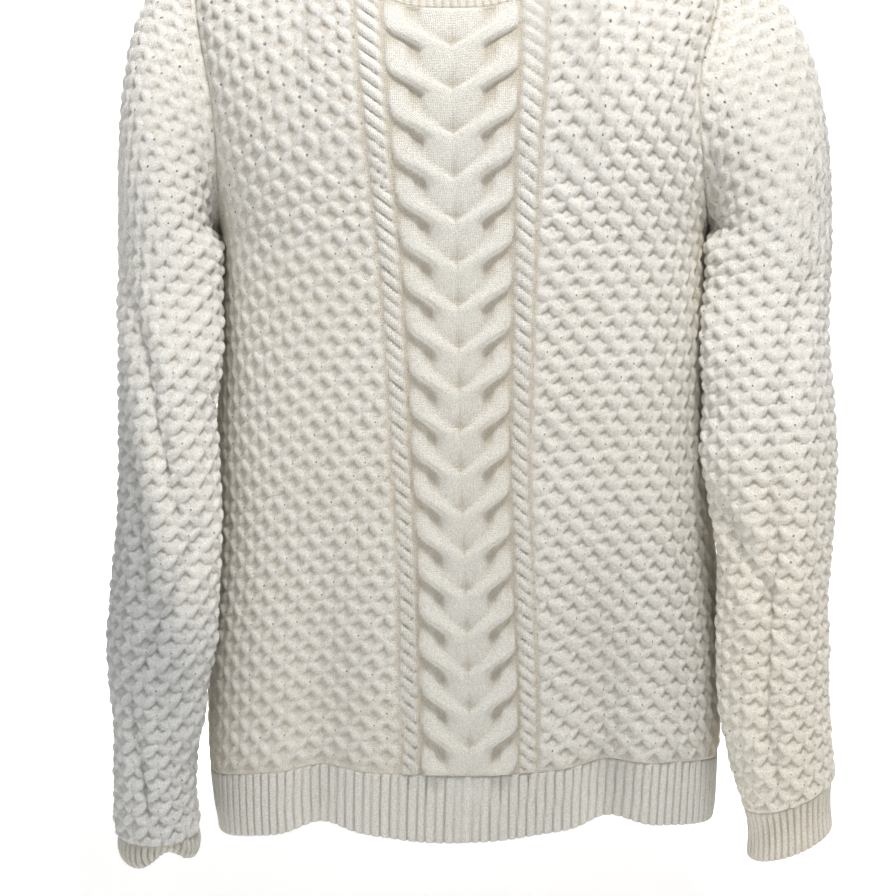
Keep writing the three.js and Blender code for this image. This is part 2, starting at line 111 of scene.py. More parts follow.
RIGHT_CUFF = dict(down=[0, 10, 24, 38], x=[245.5, 246.5, 247.5, 248], wide=[32, 30.5, 30, 31],
                  deep=[34, 32, 31, 32], slope=[0.4, 0.42, 0.42, 0.42])
LEVELS = [0, 0.12, 0.24, 0.36, 0.48, 0.6, 0.72, ARMPIT_LEVEL,
          0.87, 0.92, 0.985, 1.13, 1.29, 1.46, 1.64, 1.82, 2]
ARMPIT_ROW = 7

# creases of the sleeves: side, angle round the sleeve in degrees (0 outermost,
# 90 front), z where it starts and ends, angle at the end, depth, width in mm
SLEEVE_CREASES = [
    (-1, 42, -235, -420, 104, 5.0, 10), (-1, 30, -330, -480, 78, 2.6, 9),
    (-1, 122, -400, -520, 70, 4.2, 9), (-1, 60, -530, -640, 96, 3.2, 8),
    (-1, 250, -260, -430, 215, 4.6, 11), (-1, 300, -420, -600, 262, 4.0, 10),
    (1, 58, -225, -330, 80, 3.4, 10), (1, 80, -310, -480, 100, 5.4, 9),
    (1, 100, -450, -612, 106, 4.6, 8), (1, 142, -380, -470, 100, 4.0, 9),
    (1, 240, -260, -430, 205, 4.6, 11), (1, 290, -400, -580, 255, 4.0, 10)]

# ------------------------------------------------------------------ knit (mm)
REPEAT = 29.8                 # one horseshoe of the centre cable
FIRST_TIP = 23.0              # the lowest tip above the rib seam
PANEL = 35.0                  # half of the centre cable
ROPE = (37.0, 49.4)           # the rope twist beside it
HONEY_START = 51.0
HONEY_W, HONEY_T = 20.0, REPEAT * 2 / 3
RIB = 6.8
WALE, COURSE = 2.25, 1.75     # one stitch
# how far the cloth is stretched across at a height above the rib seam
STRETCH = dict(t=[-60, 0, 90, 175, 265, 355, 455, 520, 560, 700],
               cable=[1.0, 1.0, 1.0, 0.97, 1.0, 1.07, 1.2, 1.31, 1.34, 1.34],
               honey=[1.0, 1.0, 0.96, 0.9, 0.9, 0.95, 1.03, 1.06, 1.07, 1.07])

RAD = math.pi / 180


def ease(v):
    t = np.clip(v, 0, 1)
    return t * t * (3 - 2 * t)


def bell(v):
    return np.exp(-v * v)


def spow(v, p):
    return np.sign(v) * np.abs(v) ** p


def read(table, key, column, at):
    k = np.asarray(table[key], float)
    v = np.asarray(table[column], float)
    if k[0] > k[-1]:
        k, v = k[::-1], v[::-1]
    m = np.zeros(len(k))
    if len(k) > 2:
        m[1:-1] = (v[2:] - v[:-2]) / (k[2:] - k[:-2])
    x = np.clip(np.asarray(at, float), k[0], k[-1])
    i = np.clip(np.searchsorted(k, x, side="right") - 1, 0, len(k) - 2)
    h = k[i + 1] - k[i]
    t = (x - k[i]) / h
    return ((2 * t ** 3 - 3 * t ** 2 + 1) * v[i] + (t ** 3 - 2 * t ** 2 + t) * h * m[i]
            + (3 * t ** 2 - 2 * t ** 3) * v[i + 1] + (t ** 3 - t ** 2) * h * m[i + 1])


def wander(a, b, seed):
    """Smooth unevenness between -1 and 1, the same on every run."""
    r = np.random.RandomState(seed)
    out = np.zeros(np.broadcast(a, b).shape)
    for _ in range(7):
        fa, fb = r.uniform(-1, 1, 2)
        ph = r.uniform(0, 2 * math.pi)
        out = out + np.sin(a * fa + b * fb + ph)
    return out / 3.2


# ------------------------------------------------------------------ body form
def shoulder_z(x):
    out = np.abs(x - NECK_X) - NECK_HALF
    return NECK_POINT_Z - SHOULDER_SLOPE * (out + np.hypot(out, 24)) / 2


def fold_at(side, x, z):
    d = np.zeros(np.broadcast(x, z).shape)
    for where, fx, depth, width, reach, lean in BODY_FOLDS:
        if where == side:
            up = (z + 650) / reach
            d = d + depth * (1 - ease(up)) * bell((x - fx - lean * up) / (width * (1 + 0.5 * up)))
    return d


def soft_fold_at(side, x, z):
    d = np.zeros(np.broadcast(x, z).shape)
    for where, fx, depth, width, low, high, lean in SOFT_FOLDS:
        if where == side:
            up = (z - low) / (high - low)
            d = d + depth * (1 - ease(up)) * bell((x - fx - lean * up) / width)
    return d


def lower_edge(side, column, x, c):
    ahead = read(LOWER_EDGE, "x", column, x)
    if side == "front":
        return ahead
    level = BACK_SEAM if column == "seam" else BACK_HEM
    return level + (ahead - level) * ease((np.abs(c) - 0.5) / 0.5)


def edge_angle(side, sign, level):
    """Widest angle of a level, on the left (-1) or the right (1)."""
    turn = np.maximum(0, level - 1) * 90 * RAD
    rise = np.sin(turn) ** (2 / BEND_POWER)
    zt = np.where(level <= 1, SEAM_MID + (BEND_Z - SEAM_MID) * np.maximum(0, level),
                  BEND_Z + (TIP_Z - BEND_Z) * rise)
    col = ("left" if sign < 0 else "right")
    x = read(ARMHOLE, "z", col + ("Front" if side == "front" else "Back"), zt)
    half = read(BODY_RINGS, "z", col, zt)
    share = np.abs(x - read(BODY_RINGS, "z", "xc", zt)) / half
    a = np.arcsin(np.minimum(1, share ** (read(BODY_RINGS, "z", "power", zt) / 2)))
    return np.where(level <= ARMPIT_LEVEL + 1e-9, 90 * RAD, a), zt


def body_at(side, angle, c, level, folds=True):
    front = side == "front"
    turn = np.maximum(0, level - 1) * 90 * RAD
    rise = np.sin(turn) ** (2 / BEND_POWER)
    pull = np.maximum(0, np.cos(turn)) ** (2 / BEND_POWER)
    zt = np.where(level <= 1, SEAM_MID + (BEND_Z - SEAM_MID) * np.maximum(0, level),
                  BEND_Z + (TIP_Z - BEND_Z) * rise)

    def place(zr):
        power = read(BODY_RINGS, "z", "power", zr)
        half = np.where(angle < 0, read(BODY_RINGS, "z", "left", zr), read(BODY_RINGS, "z", "right", zr))
        x = read(BODY_RINGS, "z", "xc", zr) + half * spow(np.sin(angle), 2 / power)
        deep = read(BODY_RINGS, "z", "front" if front else "back", zr) * np.maximum(0, np.cos(angle)) ** (2 / power)
        return x, (-1 if front else 1) * deep * pull

    x, y = place(zt)
    low = lower_edge(side, "seam", x, c)
    hem = lower_edge(side, "hem", x, c)
    z_rib = low + (hem - low) * -np.minimum(level, 0)
    z_body = low + (BEND_Z - low) * np.clip(level, 0, 1)
    z = np.where(level <= 0, z_rib, z_body)
    x2, y2 = place(z)
    x = np.where(level <= 1, x2, x)
    y = np.where(level <= 1, y2, y)
    z = np.where(level > 1, BEND_Z + (shoulder_z(x) - BEND_Z) * rise, z)
    if folds:
        f = fold_at(side, x, z) + soft_fold_at(side, x, z)
        y = y + (1 if front else -1) * f * np.minimum(1, np.abs(y) / 60)
    return np.stack([x, y, z], -1)


def body_point(side, c, level):
    c = np.asarray(c, float)
    left, _ = edge_angle(side, -1, level)
    right, _ = edge_angle(side, 1, level)
    angle = c * np.where(c < 0, left, right)
    return body_at(side, angle, c, level), angle


def top_level(side, c):
    low = 1 + (FRONT_NECK_TURN if side == "front" else BACK_NECK_TURN) / 90
    out = np.minimum(1, np.abs(c) / NECK_COLUMN)
    return low + (2 - low) * (1 - np.maximum(0, 1 - out ** NECKLINE_POWER) ** (1 / NECKLINE_POWER))


def columns(side_steps, neck_steps):
    n = 2 * side_steps + neck_steps
    k = np.arange(n + 1)
    from_seam = np.minimum(k, n - k)
    sign = np.where(k < side_steps + neck_steps / 2, -1.0, 1.0)
    t = from_seam / side_steps
    u = np.clip((from_seam - side_steps) / (neck_steps / 2), 0, 1)
    outer = from_seam < side_steps
    # closer columns towards the middle, where the cable is
    v = (1 - u) * (0.68 + 0.32 * (1 - u))
    # and outside the neckline's ends, where the rows run aslant
    near = t + 0.35 * t * (1 - t)
    top = np.where(outer, 1 - (1 - NECK_COLUMN) * near, NECK_COLUMN * np.cos(90 * RAD * (1 - v) ** 0.9))
    low = np.where(outer, 1 - (1 - NECK_SPREAD) * t, NECK_SPREAD * v)
    return sign * top, sign * low


class Flat:
    """Flat coordinates of the body: s along a ring from the centre line, t up."""

    def __init__(self, side):
        self.a = np.linspace(-90, 90, 241) * RAD
        self.l = np.linspace(-1, 2, 301)
        A, L = np.meshgrid(self.a, self.l)
        P = body_at(side, A, A / (90 * RAD), L, folds=False)
        ds = np.linalg.norm(np.diff(P, axis=1), axis=-1)
        s = np.concatenate([np.zeros((len(self.l), 1)), np.cumsum(ds, 1)], 1)
        mid = len(self.a) // 2
        self.s = s - s[:, mid:mid + 1]
        dt = np.linalg.norm(np.diff(P, axis=0), axis=-1)
        t = np.concatenate([np.zeros((1, len(self.a))), np.cumsum(dt, 0)], 0)
        zero = int(np.argmin(np.abs(self.l)))
        self.t = t - t[zero:zero + 1, :]

    def at(self, angle, level):
        i = np.clip((angle - self.a[0]) / (self.a[1] - self.a[0]), 0, len(self.a) - 1.001)
        j = np.clip((level - self.l[0]) / (self.l[1] - self.l[0]), 0, len(self.l) - 1.001)
        i0, j0 = i.astype(int), j.astype(int)
        fi, fj = i - i0, j - j0

        def pick(g):
            return ((g[j0, i0] * (1 - fi) + g[j0, i0 + 1] * fi) * (1 - fj)
                    + (g[j0 + 1, i0] * (1 - fi) + g[j0 + 1, i0 + 1] * fi) * fj)
        return pick(self.s), pick(self.t)


# ------------------------------------------------------------------ the stitches
def honeycomb(X, t, depth, width=HONEY_W, tall=HONEY_T, bias=0.0):
    """Two-stitch ribs that cross over and back, so that short strands stand up
    in V shapes, in quincunx. A V has its foot at X = width/2, t = 0. bias makes
    one of the two directions the stronger one."""
    P, T = width, tall
    hx, ht = P / 2, T / 2
    th = 2 * math.pi * t / T
    n0, m0 = np.floor(X / hx), np.floor(t / ht)
    total = np.zeros(np.broadcast(X, t).shape)
    best = np.zeros(total.shape)
    cu, cv = np.array(X, float), -np.array(t, float)
    lean = math.radians(47)
    ca, sa = math.cos(lean), math.sin(lean)
    for dn in (-1, 0, 1):
        for dm in (-1, 0, 1):
            n, m = n0 + dn, m0 + dm
            even = np.mod(n + m, 2) == 0
            odd = np.mod(np.sin(n * 12.99 + m * 78.23) * 437.58, 1.0) - 0.5
            x = X - (n + 0.5) * hx - 0.8 * odd
            y = t - (m + 0.5) * ht + 0.7 + 0.9 * odd
            side = np.where(even, -1.0, 1.0)
            lead = np.where(even, bias, -bias)
            l = x * ca * side + y * sa          # upwards along the strand
            d = x * sa * side - y * ca
            long = 0.375 * P * (1 + 0.45 * lead)
            wide = (0.205 + 0.04 * lead) * P
            # fuller at its foot, slimmer where it goes under
            wide = wide * (1 - 0.12 * l / long)
            dome = np.maximum(0, 1 - np.abs(d / wide) ** 2.2 - np.abs(l / long) ** 2.6) ** 0.60
            dome = dome * (0.90 + 0.30 * lead) * (1 + 0.16 * odd)
            total = total + dome ** 5
            take = dome > best
            best = np.where(take, dome, best)
            cu = np.where(take, d, cu)
            cv = np.where(take, -l, cv)
    h = total ** 0.2
    # the cloth between: pulled in where two strands close over it
    over = -np.cos(2 * math.pi * X / P) * np.sin(th)
    floor = 0.10 + 0.38 * ease((over + 0.8) / 1.3)
    blend = ease((h - floor + 0.10) / 0.24)
    return depth * (floor + (h - floor) * blend), cu, cv


STRAND = dict(q=[-1.3, -0.95, -0.7, -0.55, -0.42, -0.3, -0.2, -0.1, 0.0, 0.08, 0.2, 0.4, 0.8, 1.3],
              u=[0.79, 0.82, 0.83, 0.82, 0.77, 0.68, 0.58, 0.46, 0.335, 0.25, 0.19, 0.16, 0.15, 0.15])


def strand_line(q):
    """Place of one horseshoe strand across the half panel, 0 centre to 1 edge."""
    return read(STRAND, "q", "u", q)


_q = np.linspace(-1.4, 1.4, 561)
_len = np.concatenate([[0], np.cumsum(np.hypot(np.diff(_q) * REPEAT, np.diff(strand_line(_q)) * PANEL))])
_len -= np.interp(0, _q, _len)
_slope = np.gradient(strand_line(_q) * PANEL, _q * REPEAT)
_mid = np.linspace(-0.55, 0.30, 120)
_mid_c = strand_line(_mid)


def horseshoe(u, t, right):
    """Height in mm, and the stitch coordinates across and along the strand."""
    h = np.full(u.shape, 0.25)
    us, vs = u.copy(), -t.copy()
    U = u / PANEL
    k0 = np.floor((t - FIRST_TIP) / REPEAT)
    for dk in (-1, 0, 1, 2):
        tip = FIRST_TIP + (k0 + dk) * REPEAT
        q = (tip - t) / REPEAT
        q = np.where(right, q + 0.05 * np.sin(U * math.pi), q)
        c = strand_line(q)
        # the edge towards the centre line stays crisp; the other one, at first an
        # undercut edge, eases into a gentle slope once the strand runs down
        side_in = np.interp(q, [-1.2, -0.85, -0.4, 0.0, 0.3, 0.7, 1.0],
                            [0.13, 0.18, 0.25, 0.30, 0.26, 0.21, 0.18])
        side_out = np.interp(q, [-1.2, -0.85, -0.5, 0.0, 0.15, 0.42, 0.7, 1.0],
                             [0.15, 0.18, 0.23, 0.26, 0.28, 0.40, 0.46, 0.42])
        gentle = ease((q - 0.08) / 0.4)
        d = (U - c)
        d = np.where(d > 0, d / side_out, d / side_in)
        H = np.interp(q, [-1.25, -1.1, -0.85, -0.55, -0.25, 0.05, 0.3, 0.6, 0.85, 1.05],
                      [0.0, 0.6, 2.4, 3.6, 5.0, 5.1, 4.4, 3.4, 2.2, 0.4])
        crisp = np.maximum(0, 1 - np.abs(d) ** 2.5) ** 0.68
        slack = np.maximum(0, 1 - np.abs(d)) ** 0.9 * (1 + 0.55 * np.abs(d))
        v = H * np.where(d > 0, crisp * (1 - gentle) + slack * gentle, crisp)
        take = v > h
        h = np.where(take, v, h)
        sl = np.interp(q, _q, _slope)
        us = np.where(take, (U - c) * PANEL / np.sqrt(1 + sl * sl), us)
        vs = np.where(take, np.interp(q, _q, _len), vs)
    # below each strand the cloth comes up gradually to the next one
    qc = np.interp(-U, -_mid_c, _mid)
    r = np.mod((FIRST_TIP - t) / REPEAT - qc, 1.0)
    rise = 3.4 * (0.0 + 1.0 * ease((r - 0.24) / 0.72)) * ease((U - 0.02) / 0.12)
    low = rise > h
    h = np.where(low, rise, h)
    us = np.where(low, (U - 0.5) * PANEL, us)
    vs = np.where(low, -t, vs)
    # the middle wale dips a little between the two halves
    h = h * (1 - 0.16 * bell(u / 1.3))
    # it stands out more towards the rib
    h = h * (1 + 0.14 * ease((260 - t) / 170))
    # and the edge is held down by the purl stitches beside it
    h = h * ease((PANEL + 1.2 - u) / 3.2)
    return h, us, vs


def rope(v, t, period=REPEAT / 3):
    """Rope twist; v from -1 to 1 across, leaning down to the right."""
    drop = period * (0.60 * v + 0.08 * v ** 3)
    ph = (t + drop) / period
    d = ph - np.round(ph)
    d = np.where(d > 0, d / 0.50, d / 0.50)
    bump = np.maximum(0, 1 - np.abs(d) ** 2.0) ** 0.8
    env = np.maximum(0, 1 - np.abs(v) ** 3.2) ** 0.6
    return 3.9 * env * (0.20 + 0.80 * bump), v * 5.5, -(t + drop)


def body_knit(s, t, soften):
    """Relief and stitch coordinates of the front or the back."""
    kc = read(STRETCH, "t", "cable", t)
    kh = read(STRETCH, "t", "honey", t)
    w1 = wander(s / 26.0, t / 24.0, 3)
    w2 = wander(s / 30.0, t / 27.0, 11)
    right = s > 0
    a = np.abs(s)
    f = np.where(a < 50 * kc, a / kc, 50 + (a - 50 * kc) / kh)
    outer = ease((f - HONEY_START) / 30)
    f = f + outer * 0.55 * w1
    tt = t + (0.35 + outer * 0.45) * w2
    h = np.full(s.shape, 0.8)
    us = f.copy()
    vs = -tt
    hh, hu, hv = horseshoe(np.minimum(f, PANEL + 2), tt, right)
    inside = f < PANEL + 1.2
    h = np.where(inside, hh, h)
    us = np.where(inside, hu, us)
    vs = np.where(inside, hv, vs)
    v = (f - (ROPE[0] + ROPE[1]) / 2) / ((ROPE[1] - ROPE[0]) / 2)
    ropes = np.abs(v) <= 1
    rh, ru, rv = rope(np.where(right, v, -v), tt + np.where(right, 3.1, 0.0))
    h = np.where(ropes, np.maximum(h, rh), h)
    us = np.where(ropes, ru, us)
    vs = np.where(ropes, rv, vs)
    X = f - HONEY_START
    honey = X > -0.5
    depth = np.where(right, 5.2 + 0.3 * ease((250 - t) / 160), 3.8) * (1 - 0.10 * w1) * (1 - 0.35 * soften)
    depth = depth * (1 + np.where(right, 0.12, 0.02) * ease((t - 400) / 80))
    shift = np.where(right, 6.0, 14.5)
    ch, cu, cv = honeycomb(X, tt + shift, depth, bias=np.where(right, 0.32, -0.24))
    ch = 1.2 + (ch - 1.2) * ease(X / 4.0)
    h = np.where(honey, ch, h)
    us = np.where(honey, cu, us)
    vs = np.where(honey, cv, vs)
    cell = np.stack([X / HONEY_W, (tt + shift) / HONEY_T], -1)
    cell[~honey] = [0.25, 0.25]
    stitch = np.stack([us / WALE, vs / COURSE], -1)
    return h, stitch, cell


def rib_knit(s, t, period=RIB):
    w = wander(s / 20.0, t / 30.0, 5)
    x = (s + 0.35 * w) / period
    d = np.abs(x - np.round(x)) * 2          # 1 in the groove's middle
    h = 1.75 * (1 - ease((d - 0.62) / 0.33))
    stitch = np.stack([(x - np.round(x)) * period / WALE + 0.5, -t / COURSE], -1)
    return h, stitch


# ------------------------------------------------------------------ shells
def normals_of(P, wrap):
    if wrap:
        du = np.roll(P, -1, 1) - np.roll(P, 1, 1)
    else:
        du = np.empty_like(P)
        du[:, 1:-1] = P[:, 2:] - P[:, :-2]
        du[:, 0] = P[:, 1] - P[:, 0]
        du[:, -1] = P[:, -1] - P[:, -2]
    dv = np.empty_like(P)
    dv[1:-1] = P[2:] - P[:-2]
    dv[0] = P[1] - P[0]
    dv[-1] = P[-1] - P[-2]
    n = np.cross(du, dv)
    length = np.linalg.norm(n, axis=-1, keepdims=True)
    return n / np.maximum(length, 1e-9)


def smooth_normals(N, wrap, times=2):
    for _ in range(times):
        M = N.copy()
        if wrap:
            M = M + np.roll(N, 1, 1) + np.roll(N, -1, 1)
        else:
            M[:, 1:-1] += N[:, 2:] + N[:, :-2]
        M[1:-1] += N[2:] + N[:-2]
        N = M / np.linalg.norm(M, axis=-1, keepdims=True)
    return N


def shell(name, P, h, stitch, cell, extra, wrap, free, slot, zero=1.0, thick=WALL, step=4, shade=None, lift=0.0):
    """Closed shell: P base grid in mm (rows up), h the relief, free the rows
    ('low', 'top') that end in a rounded edge instead of a seam."""
    R, C = P.shape[:2]
    N = smooth_normals(normals_of(P, wrap), wrap)
    outer = P + N * (h - zero)[..., None]
    verts = [outer.reshape(-1, 3)]
    cav = [(h + lift).reshape(-1)]
    count = R * C
    faces = []
    idx = np.arange(R * C).reshape(R, C)
    nexti = np.concatenate([idx[:, 1:], idx[:, :1]], 1) if wrap else idx[:, 1:]
    thisi = idx if wrap else idx[:, :-1]
    quads = np.stack([thisi[:-1], nexti[:-1], nexti[1:], thisi[1:]], -1).reshape(-1, 4)

    def corner_values(G, G_end=None, settle=False):
        if wrap:
            end = G_end if G_end is not None else G[:, :1]
            full = np.concatenate([G, end], 1)
        else:
            full = G
        q = np.stack([full[:-1, :-1], full[:-1, 1:], full[1:, 1:], full[1:, :-1]], 2)
        if settle:
            # where two strands meet, the whole face takes the first corner's strand
            wide = np.linalg.norm(np.roll(P, -1, 1) - P, axis=-1)[:-1, :q.shape[1]] / WALE
            tall = np.linalg.norm(P[1:] - P[:-1], axis=-1)[:, :q.shape[1]] / COURSE
            o = q[:, :, 0]
            jump = np.abs(q - o[:, :, None]).max(axis=(2, 3)) > 1.9
            zero_ = np.zeros(wide.shape)
            plain_ = np.stack([np.stack([o[..., 0] + dx, o[..., 1] + dy], -1) for dx, dy in
                               ((zero_, zero_), (wide, zero_), (wide, -tall), (zero_, -tall))], 2)
            q = np.where(jump[:, :, None, None], plain_, q)
        return q.reshape(-1, G.shape[-1])
    st, st_end = stitch
    ce, ce_end = cell
    uv_st = [corner_values(st, st_end, True)]
    uv_ce = [corner_values(ce, ce_end)]
    # coarse inner grid
    rows = np.arange(0, R, step)
    if rows[-1] != R - 1:
        rows = np.append(rows, R - 1)
    cols = np.arange(0, C, step)
    if not wrap and cols[-1] != C - 1:
        cols = np.append(cols, C - 1)
    inner = (P - N * thick)[np.ix_(rows, cols)]
    Ri, Ci = inner.shape[:2]
    tris = []
    tri_st, tri_ce = [], []
    extra_rows = {}
    for which in ("low", "top"):
        row = 0 if which == "low" else R - 1
        ring = idx[row].copy()
        if which in free:
            D = P[0] - P[1] if which == "low" else P[-1] - P[-2]
            D = D / np.linalg.norm(D, axis=-1, keepdims=True)
            top = (h[row] - zero)
            r = (top + thick) / 2
            mid = P[row] + N[row] * (top - r)[:, None]
            last = ring
            for a in (30, 60, 90, 120, 150):
                p = mid + N[row] * (r * math.cos(a * RAD))[:, None] + D * (r * 0.8 * math.sin(a * RAD))[:, None]
                new = count + np.arange(C)
                verts.append(p)
                cav.append(h[row] * (1 - 0.3 * a / 180))
                count += C
                n1 = np.roll(last, -1) if wrap else last[1:]
                n2 = np.roll(new, -1) if wrap else new[1:]
                l1 = last if wrap else last[:-1]
                l2 = new if wrap else new[:-1]
                q = np.stack([l2, n2, n1, l1], -1) if which == "low" else np.stack([l1, n1, n2, l2], -1)
                faces.append(q)
                a_st = st[row]
                f_st = np.concatenate([a_st, st_end[row]], 0) if wrap else a_st
                f_ce = np.concatenate([ce[row], ce_end[row]], 0) if wrap else ce[row]
                pair = np.stack([f_st[:-1], f_st[1:], f_st[1:], f_st[:-1]], 1).reshape(-1, 2)
                pair_c = np.stack([f_ce[:-1], f_ce[1:], f_ce[1:], f_ce[:-1]], 1).reshape(-1, 2)
                uv_st.append(pair)
                uv_ce.append(pair_c)
                last = new
            ring = last
        extra_rows[which] = ring
    in0 = count
    verts.append(inner.reshape(-1, 3))
    cav.append(np.full(Ri * Ci, 0.9))
    count += Ri * Ci
    ii = in0 + np.arange(Ri * Ci).reshape(Ri, Ci)
    nx = np.concatenate([ii[:, 1:], ii[:, :1]], 1) if wrap else ii[:, 1:]
    tx = ii if wrap else ii[:, :-1]
    q = np.stack([tx[:-1], tx[1:], nx[1:], nx[:-1]], -1).reshape(-1, 4)
    faces.append(q)
    ist = st[np.ix_(rows, cols)]
    ice = ce[np.ix_(rows, cols)]
    if wrap:
        ist = np.concatenate([ist, st_end[rows]], 1)
        ice = np.concatenate([ice, ce_end[rows]], 1)

    def inner_corners(G):
        return np.stack([G[:-1, :-1], G[1:, :-1], G[1:, 1:], G[:-1, 1:]], 2).reshape(-1, 2)
    uv_st.append(inner_corners(ist))
    uv_ce.append(inner_corners(ice))

    def fan(fine, coarse, where, flip):
        # triangles between a fine edge and the coarse edge beside it
        out = []
        n = len(where)
        for k in range(n - 1):
            lo, hi = where[k], where[k + 1]
            mid = (lo + hi + 1) // 2
            for m in range(lo, hi):
                near = coarse[k] if m < mid else coarse[k + 1]
                if m == mid and mid > lo:
                    out.append((coarse[k], coarse[k + 1], fine[m]))
                out.append((fine[m], near, fine[m + 1]))
        out = np.array(out)
        return out if flip else out[:, ::-1]
    if wrap:
        where_c = np.append(cols, C)
        for which in ("low", "top"):
            fine = np.append(extra_rows[which], extra_rows[which][0])
            coarse = np.append(ii[0] if which == "low" else ii[-1], ii[0, 0] if which == "low" else ii[-1, 0])
            tris.append(fan(fine, coarse, where_c, which == "low"))
    else:
        for which in ("low", "top"):
            coarse = ii[0] if which == "low" else ii[-1]
            tris.append(fan(extra_rows[which], coarse, cols, which == "low"))
        tris.append(fan(idx[:, 0], ii[:, 0], rows, False))
        tris.append(fan(idx[:, -1], ii[:, -1], rows, True))
    tris = np.concatenate(tris)
    faces = np.concatenate([quads] + faces)
    verts = np.concatenate(verts) / 1000.0
    cav = np.concatenate(cav)
    ax = np.concatenate([extra.reshape(-1), np.full(len(verts) - R * C, float(np.median(extra)))])

    mesh = bpy.data.meshes.new(name)
    nq, nt = len(faces), len(tris)
    mesh.vertices.add(len(verts))
    mesh.vertices.foreach_set("co", verts.astype(np.float32).ravel())
    mesh.loops.add(nq * 4 + nt * 3)
    mesh.loops.foreach_set("vertex_index", np.concatenate([faces.ravel(), tris.ravel()]).astype(np.int32))
    mesh.polygons.add(nq + nt)
    start = np.concatenate([np.arange(nq) * 4, nq * 4 + np.arange(nt) * 3]).astype(np.int32)
    mesh.polygons.foreach_set("loop_start", start)
    mesh.polygons.foreach_set("use_smooth", np.ones(nq + nt, bool))
    mesh.update(calc_edges=True)
    loops = len(mesh.loops)
    for label, parts, G in (("stitch", uv_st, ist), ("cell", uv_ce, ice)):
        flat = np.concatenate(parts)
        full = np.zeros((loops, 2), np.float32)
        full[:len(flat)] = flat
        layer = mesh.uv_layers.new(name=label)
        layer.data.foreach_set("uv", full.ravel())
    # painted shade for each point, where the piece has it
    painted_shade_values = np.zeros(len(verts)) if shade is None else shade(verts * 1000.0)
    for label, values in (("relief", cav), ("tone", ax), ("shade", painted_shade_values)):
        at = mesh.attributes.new(label, "FLOAT", "POINT")
        at.data.foreach_set("value", values.astype(np.float32))
    mesh.validate()
    obj = bpy.data.objects.new(name, mesh)
    bpy.context.scene.collection.objects.link(obj)
    return obj


# ------------------------------------------------------------------ material
def nodes_of(mat):
    mat.use_nodes = True
    tree = mat.node_tree
    tree.nodes.clear()
    return tree


